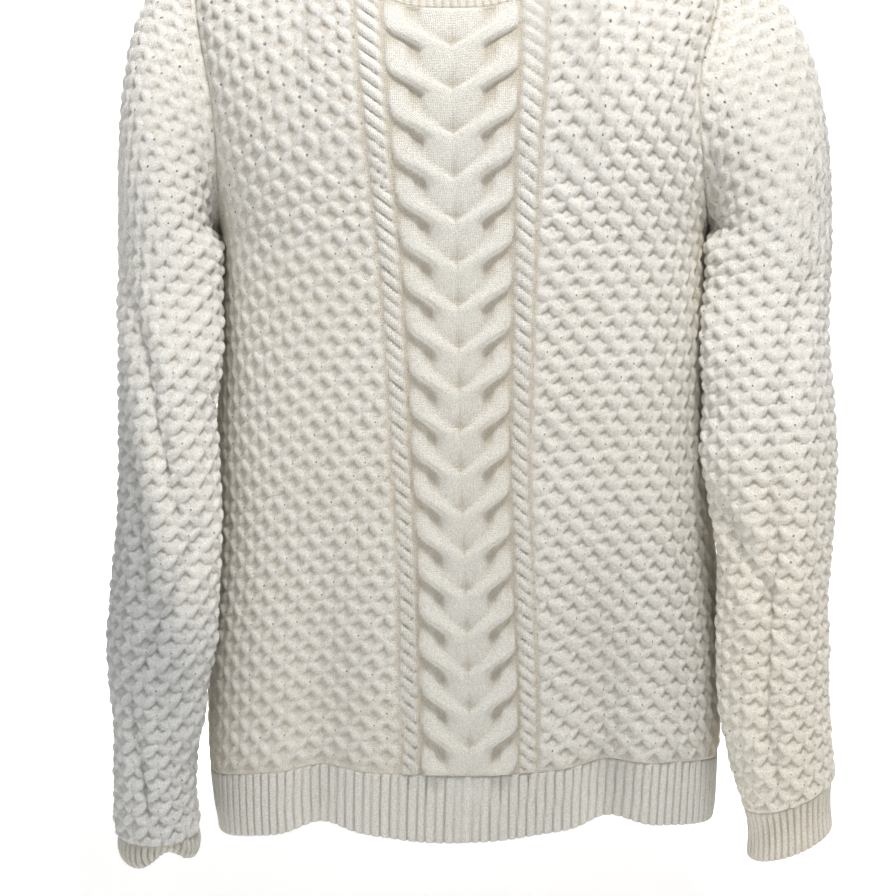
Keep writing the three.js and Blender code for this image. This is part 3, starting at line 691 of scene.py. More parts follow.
def yarn_material(name, high, low, rib=False):
    mat = bpy.data.materials.new(name)
    tree = nodes_of(mat)
    new = tree.nodes.new
    link = tree.links.new

    def math_node(op, a, b=None, c=None, clamp=False):
        n = new("ShaderNodeMath")
        n.operation = op
        n.use_clamp = clamp
        for k, v in enumerate((a, b, c)):
            if v is None:
                continue
            if isinstance(v, (int, float)):
                n.inputs[k].default_value = v
            else:
                link(v, n.inputs[k])
        return n.outputs[0]

    out = new("ShaderNodeOutputMaterial")
    bsdf = new("ShaderNodeBsdfPrincipled")
    link(bsdf.outputs[0], out.inputs[0])
    bsdf.inputs["Roughness"].default_value = 0.88
    bsdf.inputs["Specular IOR Level"].default_value = 0.22
    bsdf.inputs["Sheen Weight"].default_value = 0.28
    bsdf.inputs["Sheen Roughness"].default_value = 0.55
    bsdf.inputs["Sheen Tint"].default_value = (1.0, 0.98, 0.95, 1.0)

    relief = new("ShaderNodeAttribute"); relief.attribute_name = "relief"
    tone = new("ShaderNodeAttribute"); tone.attribute_name = "tone"
    uv = new("ShaderNodeUVMap"); uv.uv_map = "stitch"
    cell = new("ShaderNodeUVMap"); cell.uv_map = "cell"
    geo = new("ShaderNodeTexCoord")
    sep = new("ShaderNodeSeparateXYZ"); link(uv.outputs[0], sep.inputs[0])
    cep = new("ShaderNodeSeparateXYZ"); link(cell.outputs[0], cep.inputs[0])

    # stitches: two leaning legs to each wale, a little uneven
    tug = new("ShaderNodeTexNoise")
    tug.inputs["Scale"].default_value = 240.0
    tug.inputs["Detail"].default_value = 2.0
    link(geo.outputs["Object"], tug.inputs["Vector"])
    tugs = new("ShaderNodeSeparateColor"); link(tug.outputs["Color"], tugs.inputs[0])
    sx = math_node("ADD", sep.outputs[0], math_node("MULTIPLY", tugs.outputs[0], 0.4))
    sy = math_node("ADD", sep.outputs[1], math_node("MULTIPLY", tugs.outputs[1], 0.4))
    fx = math_node("SUBTRACT", math_node("FRACT", sx), 0.5)
    a = math_node("MULTIPLY", math_node("ABSOLUTE", fx), 2.0)
    lean = math_node("MULTIPLY", a, 0.55)
    fy = math_node("FRACT", math_node("ADD", sy, lean))
    across = math_node("SINE", math_node("MULTIPLY", a, math.pi))
    along = math_node("SINE", math_node("MULTIPLY", fy, math.pi))
    leg = math_node("MULTIPLY", math_node("POWER", math_node("MAXIMUM", across, 0.001), 0.6),
                    math_node("ADD", math_node("MULTIPLY", math_node("POWER", math_node("MAXIMUM", along, 0.001), 0.7), 0.7), 0.3))

    fuzz = new("ShaderNodeTexNoise")
    fuzz.inputs["Scale"].default_value = 900.0
    fuzz.inputs["Detail"].default_value = 4.0
    fuzz.inputs["Roughness"].default_value = 0.65
    link(geo.outputs["Object"], fuzz.inputs["Vector"])
    soft = new("ShaderNodeTexNoise")
    soft.inputs["Scale"].default_value = 230.0
    soft.inputs["Detail"].default_value = 3.0
    link(geo.outputs["Object"], soft.inputs["Vector"])
    wide = new("ShaderNodeTexNoise")
    wide.inputs["Scale"].default_value = 14.0
    wide.inputs["Detail"].default_value = 2.0
    link(geo.outputs["Object"], wide.inputs["Vector"])

    height = math_node("ADD", math_node("MULTIPLY", leg, 0.62),
                       math_node("ADD", math_node("MULTIPLY", fuzz.outputs[0], 0.62),
                                 math_node("MULTIPLY", soft.outputs[0], 0.25)))
    bump = new("ShaderNodeBump")
    bump.inputs["Strength"].default_value = 0.7
    bump.inputs["Distance"].default_value = 0.0018
    link(height, bump.inputs["Height"])

    # small dark holes where the ribs meet, in quincunx
    def hole(du, dv):
        x = math_node("SUBTRACT", math_node("FRACT", math_node("ADD", cep.outputs[0], du)), 0.5)
        y = math_node("SUBTRACT", math_node("FRACT", math_node("ADD", cep.outputs[1], dv)), 0.5)
        x = math_node("DIVIDE", x, 0.040)
        y = math_node("DIVIDE", y, 0.055)
        d = math_node("SQRT", math_node("ADD", math_node("MULTIPLY", x, x), math_node("MULTIPLY", y, y)))
        return math_node("SUBTRACT", spread.outputs[0], d, clamp=True)
    place = new("ShaderNodeSeparateXYZ"); link(geo.outputs["Object"], place.inputs[0])
    spread = new("ShaderNodeMapRange")
    spread.inputs["From Min"].default_value = -0.20
    spread.inputs["From Max"].default_value = -0.01
    spread.inputs["To Min"].default_value = 1.0
    spread.inputs["To Max"].default_value = 1.9
    link(place.outputs[2], spread.inputs["Value"])
    holes = math_node("MAXIMUM", hole(0.0, 0.37), hole(0.5, 0.87))
    strength = new("ShaderNodeMapRange")
    strength.inputs["From Min"].default_value = 0.40
    strength.inputs["From Max"].default_value = 0.62
    link(soft.outputs[0], strength.inputs["Value"])
    holes = math_node("MULTIPLY", math_node("MULTIPLY", holes, 1.8, clamp=True), strength.outputs[0])

    # colour: painted shade in the hollows, warm and deeper there, near white on the ridges
    ramp = new("ShaderNodeMapRange")
    ramp.interpolation_type = "SMOOTHSTEP"
    ramp.inputs["From Min"].default_value = 0.0
    ramp.inputs["From Max"].default_value = 1.9 if rib else 3.3
    link(relief.outputs["Fac"], ramp.inputs["Value"])
    mix = new("ShaderNodeMix"); mix.data_type = "RGBA"
    link(ramp.outputs[0], mix.inputs["Factor"])
    mix.inputs["A"].default_value = (*low, 1)
    mix.inputs["B"].default_value = (*high, 1)
    # tone darkens towards a warm tan; on the body and the hem rib it is mostly painted shade where the cloth rounds
    # away at the sides
    warm = new("ShaderNodeMix"); warm.data_type = "RGBA"; warm.blend_type = "MULTIPLY"
    link(tone.outputs["Fac"], warm.inputs["Factor"])
    link(mix.outputs["Result"], warm.inputs["A"])
    warm.inputs["B"].default_value = (0.97, 0.90, 0.75, 1)
    # painted shade: a cool darkening by the shade attribute, on the left forearm and cuff and on the front towards
    # the rib
    painted_shade = new("ShaderNodeAttribute"); painted_shade.attribute_name = "shade"
    dim = new("ShaderNodeMix"); dim.data_type = "RGBA"; dim.blend_type = "MULTIPLY"
    link(painted_shade.outputs["Fac"], dim.inputs["Factor"])
    link(warm.outputs["Result"], dim.inputs["A"])
    dim.inputs["B"].default_value = (0.61, 0.64, 0.675, 1)
    vary = new("ShaderNodeMix"); vary.data_type = "RGBA"; vary.blend_type = "MULTIPLY"
    shade = new("ShaderNodeMapRange")
    shade.inputs["From Min"].default_value = 0.35
    shade.inputs["From Max"].default_value = 0.65
    shade.inputs["To Min"].default_value = 0.0
    shade.inputs["To Max"].default_value = 0.55
    link(wide.outputs[0], shade.inputs["Value"])
    link(shade.outputs[0], vary.inputs["Factor"])
    link(dim.outputs["Result"], vary.inputs["A"])
    vary.inputs["B"].default_value = (0.965, 0.955, 0.93, 1)
    # painted shade between the stitch legs: darker where they part
    seam = new("ShaderNodeMix"); seam.data_type = "RGBA"; seam.blend_type = "MULTIPLY"
    leg_gap_shade = math_node("MULTIPLY", math_node("SUBTRACT", 1.0, leg), 0.30)
    link(leg_gap_shade, seam.inputs["Factor"])
    link(vary.outputs["Result"], seam.inputs["A"])
    seam.inputs["B"].default_value = (0.80, 0.76, 0.70, 1)
    grain = new("ShaderNodeMix"); grain.data_type = "RGBA"; grain.blend_type = "MULTIPLY"
    specks = new("ShaderNodeMapRange")
    specks.inputs["From Min"].default_value = 0.36
    specks.inputs["From Max"].default_value = 0.62
    specks.inputs["To Min"].default_value = 1.0
    specks.inputs["To Max"].default_value = 0.0
    link(fuzz.outputs[0], specks.inputs["Value"])
    link(specks.outputs[0], grain.inputs["Factor"])
    link(seam.outputs["Result"], grain.inputs["A"])
    grain.inputs["B"].default_value = (0.74, 0.725, 0.69, 1)
    dark = new("ShaderNodeMix"); dark.data_type = "RGBA"
    link(holes, dark.inputs["Factor"])
    link(grain.outputs["Result"], dark.inputs["A"])
    dark.inputs["B"].default_value = (0.16, 0.14, 0.115, 1)
    link(dark.outputs["Result"], bsdf.inputs["Base Color"])
    link(bump.outputs[0], bsdf.inputs["Normal"])
    return mat


# the second colour of each material is painted shade for the hollows and the rib's grooves
WHITE = (0.925, 0.917, 0.892)
HOLLOW_SHADE = (0.69, 0.64, 0.56)
knit = yarn_material("aran_wool", WHITE, HOLLOW_SHADE)
ribbed = yarn_material("rib_wool", (0.87, 0.86, 0.83), (0.64, 0.60, 0.53), rib=True)


# ------------------------------------------------------------------ the pieces
def edge_fade(s_from_edge, reach=5.0, low=0.0):
    return low + (1 - low) * ease(s_from_edge / reach)


def edge_distance(P, wrap):
    """Rough distance to the nearest seam edge of the grid, in mm."""
    R, C = P.shape[:2]
    up = np.concatenate([np.zeros((1, C)), np.cumsum(np.linalg.norm(np.diff(P, axis=0), axis=-1), 0)], 0)
    d = np.minimum(up, up[-1:] - up)
    if not wrap:
        ac = np.concatenate([np.zeros((R, 1)), np.cumsum(np.linalg.norm(np.diff(P, axis=1), axis=-1), 1)], 1)
        d = np.minimum(d, np.minimum(ac, ac[:, -1:] - ac))
    return d


flats = {"front": Flat("front"), "back": Flat("back")}


def panel(side, side_steps, neck_steps, low_rows, high_rows):
    top, low = columns(side_steps, neck_steps)
    level = np.concatenate([np.linspace(0, 1, low_rows + 1), np.linspace(1, 2, high_rows + 1)[1:]])
    L, TOP = np.meshgrid(level, top, indexing="ij")
    _, LOW = np.meshgrid(level, low, indexing="ij")
    t = np.maximum(0, (L - ARMPIT_LEVEL) / (2 - ARMPIT_LEVEL))
    l = np.where(L > ARMPIT_LEVEL, ARMPIT_LEVEL + t * (top_level(side, TOP) - ARMPIT_LEVEL), L)
    c = LOW + (TOP - LOW) * ease(t)
    P, angle = body_point(side, c, l)
    s, tt = flats[side].at(angle, l)
    if side == "back":
        s = -s
    d = edge_distance(P, False)
    soften = np.maximum(1 - ease(d / 22), 1.35 * ease((np.abs(angle) / RAD - 47) / 30) * ease((-60 - P[..., 2]) / 90))
    h, stitch, cell = body_knit(s, tt, soften)
    fade = edge_fade(d, 3.0)
    h = 1.5 + (h - 1.5) * fade
    # painted tan shade where the body rounds away under the arms
    side_share = ease((np.abs(angle) / RAD - 52) / 30) * (0.4 * ease((-30 - P[..., 2]) / 60)
                                                           + 0.6 * ease((-140 - P[..., 2]) / 60))
    # tone: that painted shade, a little more at the seams, towards the bottom and over the centre cable
    tone = np.clip(0.75 * side_share + 0.12 * (1 - ease(d / 2.0)) + 0.16 * ease((-120 - P[..., 2]) / 300)
                   + 0.10 * (1 - ease((np.abs(s) - 36) / 10)), 0, 1)
    # painted light: the hollows beside the sleeves lifted towards the ridge colour, so the shaded band there stays
    # pale
    pale = 2.2 * ease((np.abs(angle) / RAD - 50) / 25) * ease((-50 - P[..., 2]) / 80)
    if side == "back":
        P, h, stitch, cell, tone, pale = (x[:, ::-1] for x in (P, h, stitch, cell, tone, pale))
    return shell(side + "_knit", P, h, (stitch, None), (cell, None), tone, False, (), "aran_knit",
                 shade=lower_shade if side == "front" else None, lift=pale)


def lower_shade(V):
    """Painted shade on the front: darker towards the rib, and a little darker over the centre cable."""
    cable = 0.15 * (1 - ease((np.abs(V[:, 0] + 1) - 36) / 12)) * ease((V[:, 2] + 610) / 10)
    return cable + (0.26 + 0.08 * ease((V[:, 0] + 60) / 120)) * ease((-270 - V[:, 2]) / 270)


def hem(side, side_steps, neck_steps, rows):
    _, low = columns(side_steps, neck_steps)
    level = np.linspace(-1, 0, rows + 1)
    L, LOW = np.meshgrid(level, low, indexing="ij")
    P, angle = body_point(side, LOW, L)
    s, tt = flats[side].at(angle, L)
    if side == "back":
        s = -s
    h, stitch = rib_knit(s, tt)
    h = 1.3 + (h - 1.3) * ease(-tt / 3.0)
    cell = np.full(stitch.shape, 0.25)
    # painted warm shade where the rib rounds away at the sides
    tone = 0.45 * ease((np.abs(angle) / RAD - 60) / 30)
    if side == "back":
        P, h, stitch, cell, tone = (x[:, ::-1] for x in (P, h, stitch, cell, tone))
    return shell("hem_" + side + "_knit", P, h, (stitch, None), (cell, None), tone, False, ("low",),
                 "rib_knit", zero=0.9, shade=lower_shade if side == "front" else None)


def section(table, at, angle, sign, cols=None):
    get = (lambda c: read(table, "z", c, at)) if cols is None else (lambda c: cols[c])
    u = get("wide") * np.cos(angle) * sign
    v = -get("deep") * np.sin(angle)
    t = get("turn") * RAD
    x = u * np.cos(t) - v * np.sin(t)
    y = u * np.sin(t) + v * np.cos(t)
    return np.stack([get("x") + x, get("y") + y, at + get("slope") * x], -1)


def armhole_loop(sign, angle):
    """Points of the armhole seam; angle 0 at the shoulder tip, 90 in front."""
    steps = len(LEVELS) - 1 - ARMPIT_ROW
    m = angle / math.pi * steps
    m = np.where(m <= steps, m, 2 * steps - m)
    level = np.interp(m, np.arange(steps + 1), LEVELS[::-1][:steps + 1])
    c = np.full(angle.shape, float(sign))
    F, _ = body_point("front", c, level)
    B, _ = body_point("back", c, level)
    return np.where((angle <= math.pi)[..., None], F, B)


def reach_of(obj_list):
    """How far out the body's sides reach, by depth and height, in mm."""
    ys, zs = np.arange(-110, 101, 5.0), np.arange(-620, -179, 6.0)
    tables = {}
    pts = []
    for obj in obj_list:
        co = np.empty(len(obj.data.vertices) * 3, np.float32)
        obj.data.vertices.foreach_get("co", co)
        pts.append(co.reshape(-1, 3).astype(float) * 1000)
    pts = np.concatenate(pts)
    for sign in (-1, 1):
        near = pts[(pts[:, 0] * sign > 100) & (pts[:, 2] < -175)]
        g = np.full((len(zs), len(ys)), 90.0)
        i = np.clip(np.round((near[:, 2] - zs[0]) / 6.0).astype(int), 0, len(zs) - 1)
        j = np.clip(np.round((near[:, 1] - ys[0]) / 5.0).astype(int), 0, len(ys) - 1)
        np.maximum.at(g, (i, j), near[:, 0] * sign)
        for _ in range(2):
            e = np.pad(g, 1, mode="edge")
            g = np.maximum.reduce([g, 0.5 * (e[:-2, 1:-1] + e[2:, 1:-1]), 0.5 * (e[1:-1, :-2] + e[1:-1, 2:])])
        e = np.pad(g, 1, mode="edge")
        tables[sign] = (g * 2 + e[:-2, 1:-1] + e[2:, 1:-1] + e[1:-1, :-2] + e[1:-1, 2:]) / 6
    return ys, zs, tables


def body_reach(sign, y, z):
    ys, zs, tables = REACH
    g = tables[sign]
    fj = np.clip((y - ys[0]) / 5.0, 0, len(ys) - 1.001)
    fi = np.clip((z - zs[0]) / 6.0, 0, len(zs) - 1.001)
    i, j = fi.astype(int), fj.astype(int)
    fi, fj = fi - i, fj - j
    return ((g[i, j] * (1 - fj) + g[i, j + 1] * fj) * (1 - fi)
            + (g[i + 1, j] * (1 - fj) + g[i + 1, j + 1] * fj) * fi)


def soft_weights(knots, at):
    """Weights of a smooth curve through values given at the knots."""
    k = len(knots)
    unit = np.eye(k)
    slope = np.zeros((k, k))
    slope[1:-1] = (unit[2:] - unit[:-2]) / (knots[2:] - knots[:-2])[:, None]
    slope[0] = (unit[1] - unit[0]) / (knots[1] - knots[0])
    slope[-1] = (unit[-1] - unit[-2]) / (knots[-1] - knots[-2])
    i = np.clip(np.searchsorted(knots, at, "right") - 1, 0, k - 2)
    w = knots[i + 1] - knots[i]
    f = (at - knots[i]) / w
    return ((2 * f ** 3 - 3 * f ** 2 + 1)[:, None] * unit[i]
            + ((f ** 3 - 2 * f ** 2 + f) * w)[:, None] * slope[i]
            + (3 * f ** 2 - 2 * f ** 3)[:, None] * unit[i + 1]
            + ((f ** 3 - f ** 2) * w)[:, None] * slope[i + 1])


def unrolled(P, s_full, t_full, rounds=60):
    """Flat coordinates of a sleeve opened along the seam under the arm, with
    as little stretch as possible: each small triangle keeps its shape and only
    turns, and the corners meet half way."""
    R, C = P.shape[:2]
    full = np.concatenate([P, P[:, :1]], 1)
    rows = np.unique(np.round(np.linspace(0, R - 1, 38)).astype(int))
    cols = np.arange(0, C + 1, 8)
    Q = full[np.ix_(rows, cols)]
    m, n = Q.shape[:2]
    ids = np.arange(m * n).reshape(m, n)
    a, b, c, d = (x.ravel() for x in (ids[:-1, :-1], ids[:-1, 1:], ids[1:, 1:], ids[1:, :-1]))
    tri = np.concatenate([np.stack([a, b, c], -1), np.stack([a, c, d], -1),
                          np.stack([a, b, d], -1), np.stack([b, c, d], -1)])
    V = Q.reshape(-1, 3)
    e1, e2 = V[tri[:, 1]] - V[tri[:, 0]], V[tri[:, 2]] - V[tri[:, 0]]
    l1 = np.linalg.norm(e1, axis=1)
    x2 = (e1 * e2).sum(1) / l1
    y2 = np.linalg.norm(np.cross(e1, e2), axis=1) / l1
    local = np.zeros((len(tri), 3, 2))
    local[:, 1, 0] = l1
    local[:, 2, 0] = x2
    local[:, 2, 1] = y2
    L = np.zeros((m * n, m * n))
    parts = []
    for i, j, k in ((0, 1, 2), (1, 2, 0), (2, 0, 1)):
        p, q = local[:, i] - local[:, k], local[:, j] - local[:, k]
        cot = (p * q).sum(1) / np.maximum(np.abs(p[:, 0] * q[:, 1] - p[:, 1] * q[:, 0]), 1e-6)
        w = np.clip(cot, 0.05, 5.0)
        parts.append((i, j, w))
        np.add.at(L, (tri[:, i], tri[:, i]), w)
        np.add.at(L, (tri[:, j], tri[:, j]), w)
        np.add.at(L, (tri[:, i], tri[:, j]), -w)
        np.add.at(L, (tri[:, j], tri[:, i]), -w)
    L[0, 0] += 1.0
    back = np.linalg.inv(L)
    start = np.stack([s_full[np.ix_(rows, cols)], t_full[np.ix_(rows, cols)]], -1).reshape(-1, 2)
    U = start.copy()
    for _ in range(rounds):
        S = np.zeros((len(tri), 2, 2))
        for i, j, w in parts:
            du = U[tri[:, j]] - U[tri[:, i]]
            dx = local[:, j] - local[:, i]
            S += w[:, None, None] * dx[:, :, None] * du[:, None, :]
        turn = np.arctan2(S[:, 0, 1] - S[:, 1, 0], S[:, 0, 0] + S[:, 1, 1])
        ct, sn = np.cos(turn), np.sin(turn)
        rhs = np.zeros((m * n, 2))
        for i, j, w in parts:
            dx = local[:, j] - local[:, i]
            r = w[:, None] * np.stack([ct * dx[:, 0] - sn * dx[:, 1], sn * dx[:, 0] + ct * dx[:, 1]], -1)
            np.add.at(rhs, tri[:, j], r)
            np.add.at(rhs, tri[:, i], -r)
        U = back @ rhs
    # laid so that it runs straight up from the cuff
    low = np.repeat(rows < rows[-1] * 0.6, n)
    mu, ms = U[low].mean(0), start[low].mean(0)
    du, ds = U[low] - mu, start[low] - ms
    turn = math.atan2((du[:, 0] * ds[:, 1] - du[:, 1] * ds[:, 0]).sum(), (du * ds).sum())
    ct, sn = math.cos(turn), math.sin(turn)
    U = (U - mu) @ np.array([[ct, sn], [-sn, ct]]) + ms
    mean_t = t_full.mean(1)
    Wr = soft_weights(mean_t[rows], mean_t)
    Wc = soft_weights(cols.astype(float), np.arange(C + 1.0))
    grid = U.reshape(m, n, 2)
    return Wr @ grid[..., 0] @ Wc.T, Wr @ grid[..., 1] @ Wc.T


def sleeve(sign, table, around, head_rows, arm_rows, low_z):
    # columns run from the seam under the arm round by the front and the top
    turn = np.arange(around) / around * 2 * math.pi
    angle = np.mod(math.pi - turn, 2 * math.pi)
    head = HEAD[sign]
    z = np.linspace(low_z, -227, arm_rows + 1)
    Z, A = np.meshgrid(z, angle, indexing="ij")
    arm = section(table, Z, A, sign)
    tv = np.linspace(1, 0, head_rows + 1)[1:] ** 1.15
    T, A2 = np.meshgrid(tv, angle, indexing="ij")
    p0 = armhole_loop(sign, A2)
    p3 = section(table, np.full(A2.shape, -227.0), A2, sign)
    outer = (1 + np.cos(A2)) / 2
    zero = np.zeros(A2.shape)
    p1 = p0 + np.stack([sign * (head["under"] + (head["out"] - head["under"]) * outer), zero,
                        -(head["underFall"] + (head["outFall"] - head["underFall"]) * outer)], -1)
    p2 = p3 + np.stack([zero, zero, head["underRise"] + (head["rise"] - head["underRise"]) * outer ** 1.2], -1)
    S = 1 - T
    cap = (p0 * (S ** 3)[..., None] + p1 * (3 * S * S * T)[..., None]
           + p2 * (3 * S * T * T)[..., None] + p3 * (T ** 3)[..., None])
    P = np.concatenate([arm, cap], 0)
    # it hangs against the body: drawn in a little at the front, and kept out
    # of the body's side where the two touch
    round_ = np.concatenate([A, A2], 0)
    zz = P[..., 2]
    high = (14.0 if sign > 0 else 11.0) * ease((-193 - zz) / 18) * ease((zz + 330) / 70)
    lower = (6.5 if sign > 0 else 8.5) * ease((-250 - zz) / 60) * ease((zz + 595) / 45)
    P[..., 0] -= sign * (high + lower) * bell((round_ / RAD - 146) / 36)
    need = body_reach(sign, P[..., 1], zz) + 4.2 - sign * P[..., 0]
    inside = 0.5 * (need + np.sqrt(need * need + 6.0)) * ease((-198 - zz) / 30)
    P[..., 0] += sign * inside * ease((-np.cos(round_) + 0.35) / 0.5)
    # soften the bend where the head meets the arm
    place = bell((np.arange(P.shape[0]) - arm_rows) / 15.0)[:, None, None]
    for _ in range(60):
        even = P.copy()
        even[1:-1] = 0.25 * P[:-2] + 0.5 * P[1:-1] + 0.25 * P[2:]
        P = P + place * (even - P)
    smooth = P.copy()
    # soft creases, pushed in towards the sleeve's axis
    AA = np.concatenate([A, A2], 0)
    zz = P[..., 2]
    girth = 290.0
    push = np.zeros(zz.shape)
    for sd, a0, z0, z1, a1, depth, width in SLEEVE_CREASES:
        if sd != sign:
            continue
        u = (zz - z0) / (z1 - z0)
        mid = a0 + (a1 - a0) * u
        off = (np.mod(AA / RAD - mid + 180, 360) - 180) / 360 * girth
        ends = ease((u + 0.12) / 0.35) * ease((1.12 - u) / 0.35)
        push += depth * ends * (bell(off / width) - 0.35 * bell((off - 1.9 * width) / width) - 0.35 * bell((off + 1.9 * width) / width))
    base_n = normals_of(P if sign > 0 else P[:, ::-1], True)
    if sign < 0:
        base_n = base_n[:, ::-1]
    grow = ease((np.arange(P.shape[0]) / P.shape[0]) / 0.04)[:, None]
    P = P - base_n * (push * grow * ease((-90 - zz) / 60))[..., None]
    # flat coordinates: s each way from the top line, t up from the cuff
    ds = np.linalg.norm(np.roll(P, -1, 1) - P, axis=-1)
    run = np.concatenate([np.zeros((P.shape[0], 1)), np.cumsum(ds, 1)], 1)
    half = around // 2
    s_full = run - run[:, half:half + 1]
    dt = np.linalg.norm(np.diff(P, axis=0), axis=-1)
    t = np.concatenate([np.zeros((1, around)), np.cumsum(dt, 0)], 0)
    t_full = np.concatenate([t, t[:, :1]], 1)
    s_full, t_full = unrolled(smooth, s_full, t_full)
    s, tt = s_full[:, :-1], t_full[:, :-1]
    w1 = wander(s / 26.0, tt / 24.0, 21 + sign)
    w2 = wander(s / 30.0, tt / 27.0, 31 + sign)
    width, tall = 18.6, 19.0
    lean = -0.03 * sign * tt
    X = s + lean + 0.8 * w1
    d_under = np.minimum(run[:, :-1], run[:, -1:] - run[:, :-1])
    d_end = t[-1:] - t
    d = np.minimum(d_under, d_end)
    depth = (5.4 - 0.35 * w1) * (0.76 + 0.24 * ease(d / 20))
    h, cu, cv = honeycomb(X, tt + 0.6 * w2, depth, width, tall, bias=0.2)
    h = 1.5 + (h - 1.5) * ease(d / 3.0) * ease((t + 1.0) / 4.0)
    cell = np.stack([X / width, (tt + 0.6 * w2) / tall], -1)
    cell_end = np.stack([s_full[:, -1:] / width, t_full[:, -1:] / tall], -1)
    stitch = np.stack([cu / WALE, cv / COURSE], -1)
    tone = 0.12 * (1 - ease(d / 2.0)) + (0.36 if sign > 0 else 0.0) * ease((-300 - zz) / 140)
    stitch_end = stitch[:, :1]
    if sign < 0:
        # run the other way round so that the faces look outwards
        def turn_round(G, end):
            full = np.concatenate([G, end], 1)[:, ::-1]
            return full[:, :-1], full[:, -1:]
        P = np.concatenate([P, P[:, :1]], 1)[:, ::-1][:, :-1]
        h = np.concatenate([h, h[:, :1]], 1)[:, ::-1][:, :-1]
        tone = np.concatenate([tone, tone[:, :1]], 1)[:, ::-1][:, :-1]
        stitch, stitch_end = turn_round(stitch, stitch_end)
        cell, cell_end = turn_round(cell, cell_end)
    name = "sleeve_left_knit" if sign < 0 else "sleeve_right_knit"
    shade = forearm_shade if sign < 0 else None
    return shell(name, P, h, (stitch, stitch_end), (cell, cell_end), tone, True, (), "aran_knit", shade=shade)


def forearm_shade(V):
    """Painted shade on the left sleeve: darker below a slanting break on the forearm, less again near the cuff, and a
    little darker all down from the shoulder.
    """
    start = np.clip(-250 - (V[:, 0] + 245) / 41.5 * 160, -430, -240)
    painted_shade = ease((start + 40 - V[:, 2]) / 190) * (1 - 0.26 * ease((-500 - V[:, 2]) / 80))
    return np.maximum(painted_shade, 0.16 * ease((-40 - V[:, 2]) / 160))


def tube_piece(name, P, period, free, sign, zero=0.9, tone_value=0.25, shade=None):
    """Ribbed tube: rows from the lower edge up, columns round."""
    around = P.shape[1]
    if sign < 0:
        P = np.concatenate([P, P[:, :1]], 1)[:, ::-1][:, :-1]
    ds = np.linalg.norm(np.roll(P, -1, 1) - P, axis=-1)
    run = np.concatenate([np.zeros((P.shape[0], 1)), np.cumsum(ds, 1)], 1)
    # a whole number of ribs, following the columns of the band
    ribs = round(run[:, -1].max() / period)
    share = run / run[:, -1:]
    s = share * ribs * period
    dt = np.linalg.norm(np.diff(P, axis=0), axis=-1)
    t = np.concatenate([np.zeros((1, around)), np.cumsum(dt, 0)], 0)
    x = s / period
    d = np.abs(x - np.round(x)) * 2
    full_t = np.concatenate([t, t[:, :1]], 1)
    h = 1.6 * (1 - ease((d - 0.6) / 0.34))
    ends = ease((full_t[-1:] - full_t) / 3.0) if "top" not in free else 1
    h = 1.2 + (h - 1.2) * ends
    stitch = np.stack([(x - np.round(x)) * period / WALE + 0.5, -full_t / COURSE], -1)
    cell = np.full(stitch.shape, 0.25)
    tone = np.full(P.shape[:2], tone_value)
    return shell(name, P, h[:, :-1], (stitch[:, :-1], stitch[:, -1:]), (cell[:, :-1], cell[:, -1:]),
                 tone, True, free, "rib_knit", zero=zero, shade=shade)


def left_cuff(around, rows):
    angle = np.mod(math.pi - np.arange(around) / around * 2 * math.pi, 2 * math.pi)
    seam = section(LEFT_SLEEVE, np.full(angle.shape, -650.0), angle, -1)
    k = np.linspace(0, 4, rows + 1)[::-1]
    down = read(dict(k=[0, 1, 2, 3, 4], v=LEFT_CUFF["down"]), "k", "v", k)[:, None]
    inward = read(dict(k=[0, 1, 2, 3, 4], v=LEFT_CUFF["inward"]), "k", "v", k)[:, None]
    cx, cy = LEFT_SLEEVE["x"][-1], LEFT_SLEEVE["y"][-1]
    dx, dy = seam[:, 0] - cx, seam[:, 1] - cy
    r = np.hypot(dx, dy)
    x = cx + dx * (1 - inward / r)
    y = cy + dy * (1 - inward / r)
    z = seam[:, 2] - down
    near = bell((x - NOTCH["x"]) / NOTCH["width"]) * (dy < 0) * np.minimum(1, down / 20)
    near = near * ease(-dy / 14)
    z = z + NOTCH["up"] * near
    y = y + NOTCH["back"] * near
    return np.stack([x, y, z], -1)


def right_cuff(around, rows):
    angle = np.mod(math.pi - np.arange(around) / around * 2 * math.pi, 2 * math.pi)
    down = np.linspace(38, 0, rows + 1)
    D, A = np.meshgrid(down, angle, indexing="ij")
    cols = {c: read(RIGHT_CUFF, "down", c, D) for c in ("x", "wide", "deep", "slope")}
    cols["turn"] = np.zeros(D.shape)
    cols["y"] = np.full(D.shape, -56.0)
    return section(None, -619.0 - D, A, 1, cols)


def neckband(neck_steps, rows):
    top, _ = columns(10, neck_steps)
    inner = top[10:10 + neck_steps + 1]
    F, _ = body_point("front", inner, top_level("front", inner))
    B, _ = body_point("back", inner, top_level("back", inner))
    loop = np.concatenate([F, B[::-1][1:-1]], 0)
    inward = np.stack([NECK_X - loop[:, 0], -16 - loop[:, 1]], -1)
    inward = inward / np.linalg.norm(inward, axis=-1, keepdims=True)
    lean = 0.48 + 0.24 * np.abs(inward[:, 0]) ** 1.5
    up = np.sqrt(1 - lean * lean)
    t = np.linspace(0, 1, rows + 1)[:, None]
    d = BAND_HEIGHT * t
    x = loop[:, 0] + inward[:, 0] * d * lean * (1 - 0.25 * t)
    y = loop[:, 1] + inward[:, 1] * d * lean * (1 - 0.25 * t)
    z = loop[:, 2] + d * up * (1 + 0.08 * t)
    return np.stack([x, y, z], -1)


